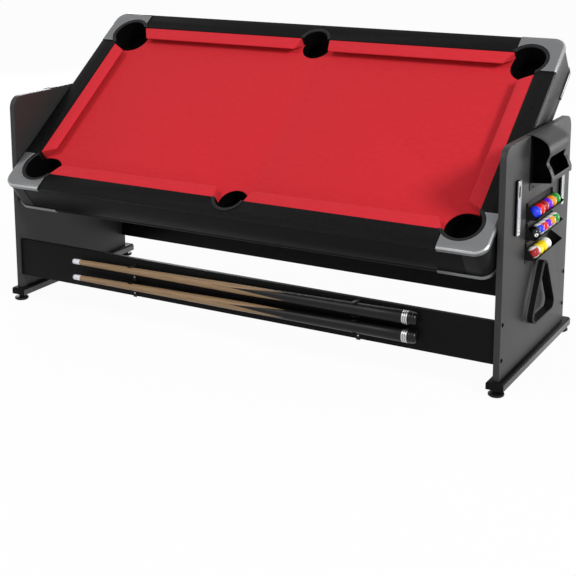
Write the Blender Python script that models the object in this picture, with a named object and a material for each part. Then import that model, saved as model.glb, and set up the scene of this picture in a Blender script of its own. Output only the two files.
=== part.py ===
# A three-in-one games table: a pool and hockey table body that turns over on two pivots
# between the end panels of its stand, with cues, balls and a rack stored on the stand.
# Units are metres. X runs along the table, -Y is the front, +Z is up, and z = 0 is the floor.
# The table body is drawn level, about its own pivot, and an empty then tilts it.

import math

import bmesh
import bpy

# General clearances and counts
GAP = 0.0003
OVERRUN = 0.01
TURN = 2 * math.pi
ROUND_SIDES = 24
SMALL_SIDES = 14
ARC_STEPS = 6

# Stand
STAND_LENGTH = 2.05
PANEL_THICKNESS = 0.022
PANEL_DEPTH = 0.70
PANEL_TOP = 0.835
PANEL_CORNER_RADIUS = 0.0475
PANEL_FACE = STAND_LENGTH / 2
PANEL_INSIDE = PANEL_FACE - PANEL_THICKNESS
PANEL_MIDDLE = PANEL_FACE - PANEL_THICKNESS / 2

FOOT_RAIL_WIDTH = 0.062
FOOT_RAIL_BOTTOM = 0.023
FOOT_RAIL_HEIGHT = 0.028
FOOT_RAIL_CHAMFER = 0.006
FOOT_RAIL_FRONT = 0.011
FOOT_RAIL_REAR = 0.036
FOOT_RAIL_TOP = FOOT_RAIL_BOTTOM + FOOT_RAIL_HEIGHT

FOOT_RADIUS = 0.0275
FOOT_DISC_HEIGHT = 0.010
FOOT_DISC_EDGE = 0.002
FOOT_NUT_RADIUS = 0.010
FOOT_STUD_RADIUS = 0.005
FOOT_STUD_LENGTH = 0.018
FOOT_INSET = 0.020

STRETCHER_THICKNESS = 0.018
STRETCHER_BOTTOM = 0.106
STRETCHER_HEIGHT = 0.149
STRETCHER_INSET = 0.006
STRETCHER_FACE = PANEL_DEPTH / 2 - STRETCHER_INSET

# Pivot and locks
PIVOT_DROP = 0.086
PIVOT_HEIGHT = PANEL_TOP - PIVOT_DROP
REST_TILT = math.radians(37.2)
SHAFT_RADIUS = 0.012
SHAFT_RUNNING_GAP = 0.0004
SHAFT_FLANGE_RADIUS = 0.034
SHAFT_FLANGE_THICKNESS = 0.003
SHAFT_NUT_RADIUS = 0.019
SHAFT_NUT_THICKNESS = 0.008
SHAFT_END_LENGTH = 0.003
BUSH_WALL = 0.004
BUSH_FLANGE_RADIUS = 0.023
BUSH_FLANGE_THICKNESS = 0.0018
BUSH_STAND_OUT = 0.0015
NUT_GAP = 0.0006

LOCK_REACH = 0.066
LOCK_PIN_RADIUS = 0.0045
LOCK_HOLE_GAP = 0.0006
LOCK_KNOB_RADIUS = 0.013
LOCK_KNOB_LENGTH = 0.016
LOCK_KNOB_STAND_OFF = 0.006
LOCK_KNOB_EDGE = 0.003

# Bent sheet hoods over the pivots
HOOD_SHEET = 0.002
HOOD_WIDTH = 0.224
HOOD_LIP_INWARD = 0.018
HOOD_SHOULDER = 0.056
HOOD_SHOULDER_DROP = 0.023
HOOD_BROW = 0.0645
HOOD_BROW_DROP = 0.038
HOOD_CHEEK = 0.0665
HOOD_CHEEK_DROP = 0.060
HOOD_WAIST = 0.0565
HOOD_WAIST_DROP = 0.090
HOOD_HIP = 0.0675
HOOD_HIP_DROP = 0.112
HOOD_TOE = 0.0765
HOOD_TOE_DROP = 0.135
HOOD_TOE_HEIGHT = 0.0175
HOOD_BOTTOM_DROP = 0.162
HOOD_FLANGE_HEIGHT = 0.028
HOOD_WINDOW_WIDTH = 0.166
HOOD_WINDOW_TOP_DROP = 0.074
HOOD_WINDOW_HEIGHT = 0.062

# Slotted strips on the right panel
STRIP_OFFSET = 0.240
STRIP_WIDTH = 0.029
STRIP_THICKNESS = 0.012
STRIP_BOTTOM = 0.5235
STRIP_HEIGHT = 0.1855
STRIP_SLOT_WIDTH = 0.010
STRIP_SLOT_HEIGHT = 0.032
STRIP_SLOT_TOP_MARGIN = 0.021

# Balls, ball trays and triangle rack
BALL_DIAMETER = 0.043
BALL_SPACING_SHARE = 0.992
FULL_ROW_COUNT = 6
SHORT_ROW_COUNT = 4
BALL_SIDES = 14
BALL_RINGS = 7
TRAY_SHEET = 0.0015
TRAY_PITCH = 0.070
TRAY_BACK_DROP = 0.0136
TRAY_HOOD_CLEARANCE = 0.0373
TRAY_STACK_TOP = PANEL_TOP - HOOD_BOTTOM_DROP - HOOD_FLANGE_HEIGHT - TRAY_HOOD_CLEARANCE
TRAY_TOP_FLOOR = TRAY_STACK_TOP - TRAY_PITCH + GAP + TRAY_BACK_DROP + TRAY_SHEET
TRAY_TOP_BALL_HEIGHT = TRAY_TOP_FLOOR + GAP + BALL_DIAMETER / 2
TRAY_END_PLAY = 0.009
TRAY_BED_DEPTH = 0.0365
TRAY_LIP_OUT = 0.012
TRAY_LIP_UP = 0.016
TRAY_CHEEK_HEIGHT = 0.042
TRAY_FLANGE_OUT = 0.007
HOOK_RADIUS = 0.004
HOOK_LENGTH = 0.040
HOOK_TONGUE_WIDTH = 0.024
HOOK_TONGUE_DROP = 0.042
RACK_WALL = 0.006
RACK_DEPTH = 0.032
RACK_STAND_OFF = 0.006
RACK_BALL_PLAY = 0.001
RACK_OFFSET = -0.010
RACK_BALLS_ON_SIDE = 5

# Cues and their clips
CUE_TIP_END = -0.715
CUE_LENGTH = 1.460
CUE_TIP_RADIUS = 0.010
CUE_BUTT_RADIUS = 0.0245
CUE_TIP_ROUNDING = 0.003
CUE_BUMPER_LENGTH = 0.020
CUE_BUMPER_RADIUS = 0.020
UPPER_CUE_REST = 0.202
LOWER_CUE_REST = 0.138
CLIP_PLACES = {"left_cue_clip": -0.440, "right_cue_clip": 0.510}
CLIP_WIDTH = 0.016
CLIP_WALL = 0.0025
CLIP_GAP = 0.0006
CLIP_JAW_SHARE = 0.55
CLIP_TOP_MARGIN = 0.003
CLIP_BELOW = 0.003

# Table body, level, measured from the pivot: u along X, v along Y and w up, pool face up
BODY_END_GAP = 0.008
BODY_LENGTH = STAND_LENGTH - 2 * (PANEL_THICKNESS + BODY_END_GAP)
BODY_WIDTH = 0.990
BODY_HEIGHT = 0.137
BODY_CORNER_RADIUS = 0.046
BODY_U = BODY_LENGTH / 2
BODY_V = BODY_WIDTH / 2
BODY_W = BODY_HEIGHT / 2
BOARD_THICKNESS = 0.018
RAIL_PLATE = 0.012
APRON_W = BODY_W - RAIL_PLATE - GAP
END_CAP_LEG = 0.087

POOL_RAIL_LONG_WIDTH = 0.077
POOL_RAIL_SHORT_WIDTH = 0.071
POOL_RAIL_BLOCK = 0.030
POOL_RAIL_U = BODY_U - POOL_RAIL_SHORT_WIDTH
POOL_RAIL_V = BODY_V - POOL_RAIL_LONG_WIDTH
POOL_BED_DROP = 0.0385
POOL_BED_THICKNESS = 0.012
POOL_BED_TOP = BODY_W - POOL_BED_DROP
BED_U = BODY_U - BOARD_THICKNESS - GAP
BED_V = BODY_V - BOARD_THICKNESS - GAP

CUSHION_WIDTH = 0.055
CUSHION_TOP_DROP = 0.002
CUSHION_NOSE_HEIGHT = 0.027
CUSHION_NOSE_LIP = 0.004
CUSHION_NOSE_FALL = 0.005
CUSHION_SLOPE = 0.012
CUSHION_FOOT_HEIGHT = 0.003
CUSHION_SIDE_GAP = 0.062
CUSHION_SIDE_FLARE = 0.013
CUSHION_CORNER_INSET_U = 0.104
CUSHION_CORNER_INSET_V = 0.104
CUSHION_CORNER_U = POOL_RAIL_U - CUSHION_CORNER_INSET_U
CUSHION_CORNER_V = POOL_RAIL_V - CUSHION_CORNER_INSET_V
CUSHION_CORNER_FLARE = 0.030

CORNER_POCKET_INSET_U = 0.115
CORNER_POCKET_INSET_V = 0.114
CORNER_POCKET_U = BODY_U - CORNER_POCKET_INSET_U
CORNER_POCKET_V = BODY_V - CORNER_POCKET_INSET_V
CORNER_POCKET_RADIUS = 0.069
CORNER_RIM_RADIUS = 0.080
SIDE_POCKET_INSET = 0.090
SIDE_POCKET_V = BODY_V - SIDE_POCKET_INSET
SIDE_POCKET_RADIUS = 0.058
SIDE_RIM_RADIUS = 0.068
POCKET_WALL = 0.003
POCKET_DEPTH = 0.058
POCKET_RIM_HEIGHT = 0.0027

CASTING_THICKNESS = 0.0037
CASTING_PROUD = 0.004
CASTING_SKIRT = 0.018
CASTING_OUT_U = 0.0035
CASTING_OUT_V = 0.0045
CASTING_POOL_LEG_U = 0.172
CASTING_POOL_LEG_V = 0.170
CASTING_HOCKEY_LEG_U = 0.195
CASTING_HOCKEY_LEG_V = 0.175
CASTING_INNER_RADIUS = 0.020
CASTING_HOCKEY_INSET = 0.004

HOCKEY_RAIL_WIDTH = 0.090
HOCKEY_RAIL_DEPTH = 0.019
HOCKEY_RAIL_BLOCK = 0.020
HOCKEY_BOARD_THICKNESS = 0.012
HOCKEY_RAIL_U = BODY_U - HOCKEY_RAIL_WIDTH
HOCKEY_RAIL_V = BODY_V - HOCKEY_RAIL_WIDTH
HOCKEY_FIELD = -BODY_W + HOCKEY_RAIL_DEPTH
GOAL_WIDTH = 0.200
GOAL_DEPTH = 0.045
GOAL_LINTEL = 0.003

BLOWER_OFFSET = 0.300
BLOWER_LENGTH = 0.150
BLOWER_DEPTH = 0.120
BLOWER_HEIGHT = 0.044
BLOWER_CORNER_RADIUS = 0.030
BLOWER_SNOUT_WIDTH = 0.060
BLOWER_SNOUT_HEIGHT = 0.034
BLOWER_APRON_DISTANCE = 0.030
VENT_SLOT_COUNT = 7
VENT_SLOT_WIDTH = 0.004
VENT_SLOT_PITCH = 0.008
VENT_SLOT_HEIGHT = 0.026


def material(name, colour, roughness, metallic=0.0):
    """One Principled material for one finish of the table."""
    made = bpy.data.materials.get(name)
    if made is None:
        made = bpy.data.materials.new(name)
        made.use_nodes = True
        shader = made.node_tree.nodes["Principled BSDF"]
        shader.inputs["Base Color"].default_value = (*colour, 1.0)
        shader.inputs["Roughness"].default_value = roughness
        shader.inputs["Metallic"].default_value = metallic
        made.diffuse_color = (*colour, 1.0)
    return made


FINISHES = {
    "panel_laminate": ((0.115, 0.115, 0.115), 0.5),
    "black_laminate": ((0.012, 0.012, 0.012), 0.45),
    "black_plastic": ((0.010, 0.010, 0.011), 0.5),
    "black_steel": ((0.020, 0.020, 0.021), 0.4),
    "zinc_steel": ((0.55, 0.55, 0.56), 0.35, 0.9),
    "silver_casting": ((0.30, 0.30, 0.31), 0.4, 0.7),
    "red_cloth": ((0.60, 0.022, 0.032), 0.95),
    "liner_plastic": ((0.030, 0.030, 0.032), 0.5),
    "white_board": ((0.80, 0.80, 0.80), 0.3),
    "cue_maple": ((0.27, 0.17, 0.09), 0.35),
    "ball_resin": ((0.75, 0.60, 0.12), 0.1),
    "nylon": ((0.60, 0.58, 0.53), 0.5),
}


def finish_object(name, shape, finish, parent=None, smooth=False):
    """Turns a closed bmesh into a named object with its finish."""
    bmesh.ops.recalc_face_normals(shape, faces=shape.faces)
    mesh = bpy.data.meshes.new(name)
    shape.to_mesh(mesh)
    shape.free()
    obj = bpy.data.objects.new(name, mesh)
    bpy.context.scene.collection.objects.link(obj)
    obj.parent = parent
    mesh.materials.append(material(finish, *FINISHES[finish]))
    if smooth:
        mesh.shade_smooth()
        mesh.set_sharp_from_angle(angle=math.radians(35))
    return obj


def along(axis, first, second, distance):
    """A point whose place along the axis is the distance, and whose other two are in X, Y, Z order."""
    if axis == "X":
        return (distance, first, second)
    if axis == "Y":
        return (first, distance, second)
    return (first, second, distance)


def prism(name, axis, outline, low, high, finish, parent=None, smooth=False):
    """A flat outline extruded along one axis."""
    shape = bmesh.new()
    corners = [shape.verts.new(along(axis, a, b, low)) for a, b in outline]
    base = shape.faces.new(corners)
    made = bmesh.ops.extrude_face_region(shape, geom=[base])
    moved = [part for part in made["geom"] if isinstance(part, bmesh.types.BMVert)]
    bmesh.ops.translate(shape, verts=moved, vec=along(axis, 0, 0, high - low))
    return finish_object(name, shape, finish, parent, smooth)


def box(name, low, high, finish, parent=None):
    """A plain board between two opposite corners."""
    outline = [(low[0], low[1]), (high[0], low[1]), (high[0], high[1]), (low[0], high[1])]
    return prism(name, "Z", outline, low[2], high[2], finish, parent)


def circle(centre, radius, sides=ROUND_SIDES):
    turns = [TURN * step / sides for step in range(sides)]
    return [(centre[0] + radius * math.cos(t), centre[1] + radius * math.sin(t)) for t in turns]


def rounded(corners, steps=ARC_STEPS):
    """An outline whose corners (x, y, radius) are turned into arcs."""
    outline = []
    for index, (x, y, radius) in enumerate(corners):
        if not radius:
            outline.append((x, y))
            continue
        before = corners[index - 1]
        after = corners[(index + 1) % len(corners)]
        to_before = math.atan2(before[1] - y, before[0] - x)
        to_after = math.atan2(after[1] - y, after[0] - x)
        opening = (to_after - to_before + math.pi) % TURN - math.pi
        reach = radius / math.sin(abs(opening) / 2)
        middle = to_before + opening / 2
        centre = (x + reach * math.cos(middle), y + reach * math.sin(middle))
        sweep = math.copysign(math.pi - abs(opening), opening)
        start = to_before - math.copysign(math.pi / 2, opening)
        for step in range(steps + 1):
            turn = start - sweep * step / steps
            outline.append((centre[0] + radius * math.cos(turn), centre[1] + radius * math.sin(turn)))
    return outline


def rounded_rectangle(half_u, half_v, radius):
    signs = ((1, 1), (-1, 1), (-1, -1), (1, -1))
    return rounded([(half_u * a, half_v * b, radius) for a, b in signs])


def rectangle(low_a, low_b, high_a, high_b):
    return [(low_a, low_b), (high_a, low_b), (high_a, high_b), (low_a, high_b)]


def turned(name, axis, centre, profile, finish, parent=None, sides=ROUND_SIDES):
    """A profile of (distance, radius) points spun about an axis, closed at both ends on the axis."""
    shape = bmesh.new()
    points = [along(axis, centre[0] + radius, centre[1], distance) for distance, radius in profile]
    verts = [shape.verts.new(point) for point in points]
    edges = [shape.edges.new(pair) for pair in zip(verts, verts[1:])]
    bmesh.ops.spin(
        shape,
        geom=verts + edges,
        cent=along(axis, centre[0], centre[1], 0),
        axis=along(axis, 0, 0, 1),
        angle=TURN,
        steps=sides,
        use_merge=True,
    )
    bmesh.ops.remove_doubles(shape, verts=shape.verts, dist=1e-6)
    return finish_object(name, shape, finish, parent, smooth=True)


def apply_cutter(target, cutter, operation="DIFFERENCE"):
    """A Boolean between two pieces, with the second one kept as a hidden helper."""
    cutter.hide_render = True
    cutter.display_type = "WIRE"
    change = target.modifiers.new(cutter.name, "BOOLEAN")
    change.object = cutter
    change.operation = operation
    return target


def cut_hole(target, name, axis, centre, radius, low, high, sides=ROUND_SIDES):
    hole = prism(name, axis, circle(centre, radius, sides), low, high, "black_plastic", target.parent)
    return apply_cutter(target, hole)


def cut_outline(target, name, axis, outline, low, high):
    return apply_cutter(target, prism(name, axis, outline, low, high, "black_plastic", target.parent))


def add_outline(target, name, axis, outline, low, high, finish):
    joined = prism(name, axis, outline, low, high, finish, target.parent)
    return apply_cutter(target, joined, "UNION")


SIDES = {"left": -1, "right": 1}
ENDS = {"front": -1, "rear": 1}


# Stand

def end_panel(name, side):
    """A laminated board with rounded top corners, bored for the pivot bush and the lock pin."""
    half = PANEL_DEPTH / 2
    outline = rounded([
        (-half, FOOT_RAIL_TOP + GAP, 0),
        (half, FOOT_RAIL_TOP + GAP, 0),
        (half, PANEL_TOP, PANEL_CORNER_RADIUS),
        (-half, PANEL_TOP, PANEL_CORNER_RADIUS),
    ])
    low, high = sorted((side * PANEL_INSIDE, side * PANEL_FACE))
    panel = prism(name, "X", outline, low, high, "panel_laminate")
    bore = SHAFT_RADIUS + SHAFT_RUNNING_GAP + BUSH_WALL + GAP
    cut_hole(panel, name + "_bush_hole", "X", (0, PIVOT_HEIGHT), bore, low - OVERRUN, high + OVERRUN)
    cut_hole(panel, name + "_lock_hole", "X", (LOCK_REACH, PIVOT_HEIGHT),
             LOCK_PIN_RADIUS + LOCK_HOLE_GAP, low - OVERRUN, high + OVERRUN, SMALL_SIDES)
    return panel


def foot_places(side):
    front = -PANEL_DEPTH / 2 - FOOT_RAIL_FRONT + FOOT_INSET
    rear = PANEL_DEPTH / 2 + FOOT_RAIL_REAR - FOOT_INSET
    return {"front": (side * PANEL_MIDDLE, front), "rear": (side * PANEL_MIDDLE, rear)}


def foot_rail(name, side):
    """A rail with chamfered upper edges under each end panel, drilled for the two feet."""
    half = FOOT_RAIL_WIDTH / 2
    middle = side * PANEL_MIDDLE
    outline = [
        (middle - half, FOOT_RAIL_BOTTOM),
        (middle + half, FOOT_RAIL_BOTTOM),
        (middle + half, FOOT_RAIL_TOP - FOOT_RAIL_CHAMFER),
        (middle + half - FOOT_RAIL_CHAMFER, FOOT_RAIL_TOP),
        (middle - half + FOOT_RAIL_CHAMFER, FOOT_RAIL_TOP),
        (middle - half, FOOT_RAIL_TOP - FOOT_RAIL_CHAMFER),
    ]
    front = -PANEL_DEPTH / 2 - FOOT_RAIL_FRONT
    rear = PANEL_DEPTH / 2 + FOOT_RAIL_REAR
    rail = prism(name, "Y", outline, front, rear, "black_laminate")
    for end, place in foot_places(side).items():
        cut_hole(rail, f"{name}_{end}_hole", "Z", place, FOOT_STUD_RADIUS + GAP,
                 FOOT_RAIL_BOTTOM - OVERRUN, FOOT_RAIL_BOTTOM + FOOT_STUD_LENGTH + GAP, SMALL_SIDES)
    return rail


def levelling_foot(name, place):
    """A round foot with its lock nut and the stud that screws into the foot rail."""
    foot = turned(name, "Z", (0, 0), [
        (0, 0),
        (0, FOOT_RADIUS - FOOT_DISC_EDGE),
        (FOOT_DISC_EDGE, FOOT_RADIUS),
        (FOOT_DISC_HEIGHT - FOOT_DISC_EDGE, FOOT_RADIUS),
        (FOOT_DISC_HEIGHT, FOOT_RADIUS - FOOT_DISC_EDGE),
        (FOOT_DISC_HEIGHT, FOOT_NUT_RADIUS),
        (FOOT_RAIL_BOTTOM - GAP, FOOT_NUT_RADIUS),
        (FOOT_RAIL_BOTTOM - GAP, FOOT_STUD_RADIUS),
        (FOOT_RAIL_BOTTOM + FOOT_STUD_LENGTH, FOOT_STUD_RADIUS),
        (FOOT_RAIL_BOTTOM + FOOT_STUD_LENGTH, 0),
    ], "black_steel", sides=SMALL_SIDES)
    foot.location = (place[0], place[1], 0)
    return foot


def stretcher(name, end):
    """A long board between the end panels, near the floor."""
    inner = end * (STRETCHER_FACE - STRETCHER_THICKNESS)
    low, high = sorted((inner, end * STRETCHER_FACE))
    half = PANEL_INSIDE - GAP
    return box(name, (-half, low, STRETCHER_BOTTOM), (half, high, STRETCHER_BOTTOM + STRETCHER_HEIGHT),
               "black_laminate")


def sheet_outline(line, thickness):
    """The outline of a bent sheet whose outer face follows the given line."""
    inner = []
    for index, point in enumerate(line):
        directions = []
        for a, b in ((index - 1, index), (index, index + 1)):
            if a >= 0 and b < len(line):
                run = (line[b][0] - line[a][0], line[b][1] - line[a][1])
                size = math.hypot(*run)
                directions.append((run[0] / size, run[1] / size))
        normals = [(y, -x) for x, y in directions]
        mean = (sum(n[0] for n in normals), sum(n[1] for n in normals))
        size = math.hypot(*mean)
        unit = (mean[0] / size, mean[1] / size)
        share = unit[0] * normals[0][0] + unit[1] * normals[0][1]
        inner.append((point[0] + unit[0] * thickness / share, point[1] + unit[1] * thickness / share))
    return line + inner[::-1]


def pivot_hood(name, side):
    """A steel sheet bent over the panel's top and out round the pivot, open at both sides."""
    flange = HOOD_SHEET + GAP
    bottom = PANEL_TOP - HOOD_BOTTOM_DROP
    line = [
        (-HOOD_LIP_INWARD, PANEL_TOP + flange),
        (flange, PANEL_TOP + flange),
        (HOOD_SHOULDER, PANEL_TOP - HOOD_SHOULDER_DROP),
        (HOOD_BROW, PANEL_TOP - HOOD_BROW_DROP),
        (HOOD_CHEEK, PANEL_TOP - HOOD_CHEEK_DROP),
        (HOOD_WAIST, PANEL_TOP - HOOD_WAIST_DROP),
        (HOOD_HIP, PANEL_TOP - HOOD_HIP_DROP),
        (HOOD_TOE, PANEL_TOP - HOOD_TOE_DROP),
        (HOOD_TOE, PANEL_TOP - HOOD_TOE_DROP - HOOD_TOE_HEIGHT),
        (flange, bottom),
        (flange, bottom - HOOD_FLANGE_HEIGHT),
    ]
    outline = [(side * (PANEL_FACE + out), z) for out, z in sheet_outline(line, HOOD_SHEET)]
    hood = prism(name, "Y", outline, -HOOD_WIDTH / 2, HOOD_WIDTH / 2, "black_steel")
    window_top = PANEL_TOP - HOOD_WINDOW_TOP_DROP
    half = HOOD_WINDOW_WIDTH / 2
    window = rectangle(-half, window_top - HOOD_WINDOW_HEIGHT, half, window_top)
    low, high = sorted((side * (PANEL_FACE + HOOD_WAIST / 2), side * (PANEL_FACE + HOOD_TOE + OVERRUN)))
    return cut_outline(hood, name + "_window", "X", window, low, high)


def pivot_bush(name, side):
    """A flanged nylon bush in the end panel, in which the pivot shaft turns."""
    bore = SHAFT_RADIUS + SHAFT_RUNNING_GAP
    flange_face = PANEL_INSIDE - GAP - BUSH_FLANGE_THICKNESS
    bush = turned(name, "X", (0, PIVOT_HEIGHT), [
        (side * flange_face, 0),
        (side * flange_face, BUSH_FLANGE_RADIUS),
        (side * (PANEL_INSIDE - GAP), BUSH_FLANGE_RADIUS),
        (side * (PANEL_INSIDE - GAP), bore + BUSH_WALL),
        (side * (PANEL_FACE + BUSH_STAND_OUT), bore + BUSH_WALL),
        (side * (PANEL_FACE + BUSH_STAND_OUT), 0),
    ], "nylon")
    low, high = sorted((side * (flange_face - OVERRUN), side * (PANEL_FACE + OVERRUN)))
    return cut_hole(bush, name + "_bore", "X", (0, PIVOT_HEIGHT), bore, low, high)


def slotted_strip(name, offset):
    """A zinc-plated strip on the right panel's outer face, with one long slot."""
    face = PANEL_FACE + GAP
    half = STRIP_WIDTH / 2
    strip = box(name, (face, offset - half, STRIP_BOTTOM),
                (face + STRIP_THICKNESS, offset + half, STRIP_BOTTOM + STRIP_HEIGHT), "zinc_steel")
    slot_top = STRIP_BOTTOM + STRIP_HEIGHT - STRIP_SLOT_TOP_MARGIN
    radius = STRIP_SLOT_WIDTH / 2
    low, high = slot_top - STRIP_SLOT_HEIGHT, slot_top
    slot = rounded([
        (offset - radius, low, radius), (offset + radius, low, radius),
        (offset + radius, high, radius), (offset - radius, high, radius),
    ], steps=3)
    return cut_outline(strip, name + "_slot", "X", slot, face - OVERRUN, face + STRIP_THICKNESS + OVERRUN)


# Balls, trays and rack

BALL_RADIUS = BALL_DIAMETER / 2
BALL_PITCH = BALL_DIAMETER * BALL_SPACING_SHARE
TRAY_FACE = PANEL_FACE + GAP
BALL_OUT = TRAY_FACE + TRAY_SHEET + GAP + BALL_RADIUS
TRAY_INSIDE_LENGTH = FULL_ROW_COUNT * BALL_PITCH + BALL_DIAMETER - BALL_PITCH + TRAY_END_PLAY
TRAY_HALF = TRAY_INSIDE_LENGTH / 2 + TRAY_SHEET
ROW_LEVELS = {"top": 0, "middle": 1, "bottom": 2}
ROW_COUNTS = {"top": FULL_ROW_COUNT, "middle": FULL_ROW_COUNT, "bottom": SHORT_ROW_COUNT}


def ball_height(level):
    return TRAY_TOP_BALL_HEIGHT - level * TRAY_PITCH


def tray_floor(level):
    """The height of a tray's inner floor, on which its balls rest."""
    return ball_height(level) - BALL_RADIUS - GAP


RACK_INNER_RADIUS = BALL_RADIUS + RACK_BALL_PLAY / 2
RACK_INNER_SIDE = (RACK_BALLS_ON_SIDE - 1 + math.sqrt(3)) * BALL_DIAMETER + math.sqrt(3) * RACK_BALL_PLAY
HOOK_HEIGHT = tray_floor(2) - TRAY_SHEET - HOOK_TONGUE_DROP + HOOK_RADIUS


def ball_tray(name, level):
    """A steel trough with closed ends; its tall back makes the back plate of the stack.

    The front end is cut lower than the rear one, so that the first ball is seen and reached.
    """
    bottom = tray_floor(level) - TRAY_SHEET
    back = bottom - TRAY_BACK_DROP
    top = back + TRAY_PITCH - GAP
    out = TRAY_BED_DEPTH + TRAY_LIP_OUT

    def section(sheet, above):
        return [
            (TRAY_FACE + sheet, bottom + sheet),
            (TRAY_FACE + TRAY_BED_DEPTH - sheet / 2, bottom + sheet),
            (TRAY_FACE + out - sheet * 1.25, bottom + TRAY_LIP_UP),
            (TRAY_FACE + out - sheet * 1.25, bottom + TRAY_LIP_UP + above),
            (TRAY_FACE + TRAY_FLANGE_OUT, bottom + TRAY_CHEEK_HEIGHT + above),
            (TRAY_FACE + TRAY_FLANGE_OUT, top + above),
            (TRAY_FACE + sheet, top + above),
        ]

    outer = section(0, 0)
    del outer[3]
    tray = prism(name, "Y", outer, -TRAY_HALF, TRAY_HALF, "black_steel")
    inner = section(TRAY_SHEET, OVERRUN)
    inner[3] = (TRAY_FACE + out + OVERRUN, bottom + TRAY_LIP_UP)
    inner[4] = (TRAY_FACE + out + OVERRUN, top + OVERRUN)
    del inner[5]
    half = TRAY_HALF - TRAY_SHEET
    cut_outline(tray, name + "_hollow", "Y", inner, -half, half)
    low_front = [
        (TRAY_FACE + TRAY_FLANGE_OUT, bottom + TRAY_CHEEK_HEIGHT),
        (TRAY_FACE + TRAY_BED_DEPTH, bottom + TRAY_SHEET * 2),
        (TRAY_FACE + out + OVERRUN, bottom + TRAY_SHEET * 2),
        (TRAY_FACE + out + OVERRUN, bottom + TRAY_CHEEK_HEIGHT),
    ]
    cut_outline(tray, name + "_low_front", "Y", low_front, -TRAY_HALF - OVERRUN, -half + TRAY_SHEET)
    below = rectangle(-TRAY_HALF, back, TRAY_HALF, bottom + TRAY_SHEET)
    add_outline(tray, name + "_back", "X", below, TRAY_FACE, TRAY_FACE + TRAY_SHEET, "black_steel")
    if level == ROW_LEVELS["bottom"]:
        add_hook(tray, bottom)
    return tray


def add_hook(tray, bottom):
    """The tongue under the bottom tray, with the peg that the rack hangs on."""
    half = HOOK_TONGUE_WIDTH / 2
    low = bottom - HOOK_TONGUE_DROP - HOOK_RADIUS
    tongue = rectangle(RACK_OFFSET - half, low, RACK_OFFSET + half, bottom + TRAY_CHEEK_HEIGHT)
    add_outline(tray, "rack_hook_tongue", "X", tongue, TRAY_FACE, TRAY_FACE + TRAY_SHEET, "black_steel")
    peg = circle((RACK_OFFSET, HOOK_HEIGHT), HOOK_RADIUS, SMALL_SIDES)
    add_outline(tray, "rack_hook_peg", "X", peg, TRAY_FACE + TRAY_SHEET / 2,
                TRAY_FACE + TRAY_SHEET + HOOK_LENGTH, "black_steel")


def ball_row(name, level, count):
    """The balls that lie in one tray, touching each other."""
    neck = math.asin(BALL_SPACING_SHARE)
    profile = []
    for index in range(count):
        start = math.pi if index == 0 else math.pi / 2 + neck
        stop = 0 if index == count - 1 else math.pi / 2 - neck
        for ring in range(BALL_RINGS + 1):
            if index and not ring:
                continue
            turn = start + (stop - start) * ring / BALL_RINGS
            place = index * BALL_PITCH + BALL_RADIUS * math.cos(turn)
            profile.append((place, max(BALL_RADIUS * math.sin(turn), 0)))
    row = turned(name, "Y", (0, 0), profile, "ball_resin", sides=BALL_SIDES)
    first = -TRAY_INSIDE_LENGTH / 2 + BALL_RADIUS + GAP
    row.location = (BALL_OUT, first, ball_height(level))
    return row


def triangle_rack(name):
    """The triangle that sets up fifteen balls, hung by one corner on the hook."""
    top = HOOK_HEIGHT + HOOK_RADIUS + GAP + RACK_INNER_RADIUS

    def triangle(grow):
        side = RACK_INNER_SIDE + 2 * math.sqrt(3) * grow
        apex = top + 2 * grow
        base = apex - side * math.sqrt(3) / 2
        radius = RACK_INNER_RADIUS + grow
        return rounded([
            (RACK_OFFSET, apex, radius),
            (RACK_OFFSET - side / 2, base, radius),
            (RACK_OFFSET + side / 2, base, radius),
        ], steps=8)

    low = PANEL_FACE + RACK_STAND_OFF
    high = low + RACK_DEPTH
    rack = prism(name, "X", triangle(RACK_WALL), low, high, "black_plastic", smooth=True)
    return cut_outline(rack, name + "_inside", "X", triangle(0), low - OVERRUN, high + OVERRUN)


# Cues and clips

CUE_OUT = STRETCHER_FACE + GAP + CLIP_WALL + CLIP_GAP + CUE_BUTT_RADIUS


def cue_radius(x):
    share = (x - CUE_TIP_END) / CUE_LENGTH
    return CUE_TIP_RADIUS + (CUE_BUTT_RADIUS - CUE_TIP_RADIUS) * share


def cue(name, rest):
    """One tapered cue with a rounded tip and a rubber bumper, its lower edge level at the rest height."""
    shoulder = CUE_LENGTH - CUE_BUMPER_LENGTH
    profile = [
        (0, 0),
        (0, CUE_TIP_RADIUS - CUE_TIP_ROUNDING),
        (CUE_TIP_ROUNDING, CUE_TIP_RADIUS),
        (shoulder, cue_radius(CUE_TIP_END + shoulder)),
        (shoulder, CUE_BUMPER_RADIUS),
        (CUE_LENGTH - CUE_TIP_ROUNDING, CUE_BUMPER_RADIUS),
        (CUE_LENGTH, CUE_BUMPER_RADIUS - CUE_TIP_ROUNDING),
        (CUE_LENGTH, 0),
    ]
    made = turned(name, "X", (0, 0), profile, "cue_maple", sides=SMALL_SIDES)
    made.location = (CUE_TIP_END, -CUE_OUT, rest + CUE_TIP_RADIUS)
    made.rotation_euler.y = -math.atan((CUE_BUTT_RADIUS - CUE_TIP_RADIUS) / CUE_LENGTH)
    return made


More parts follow.
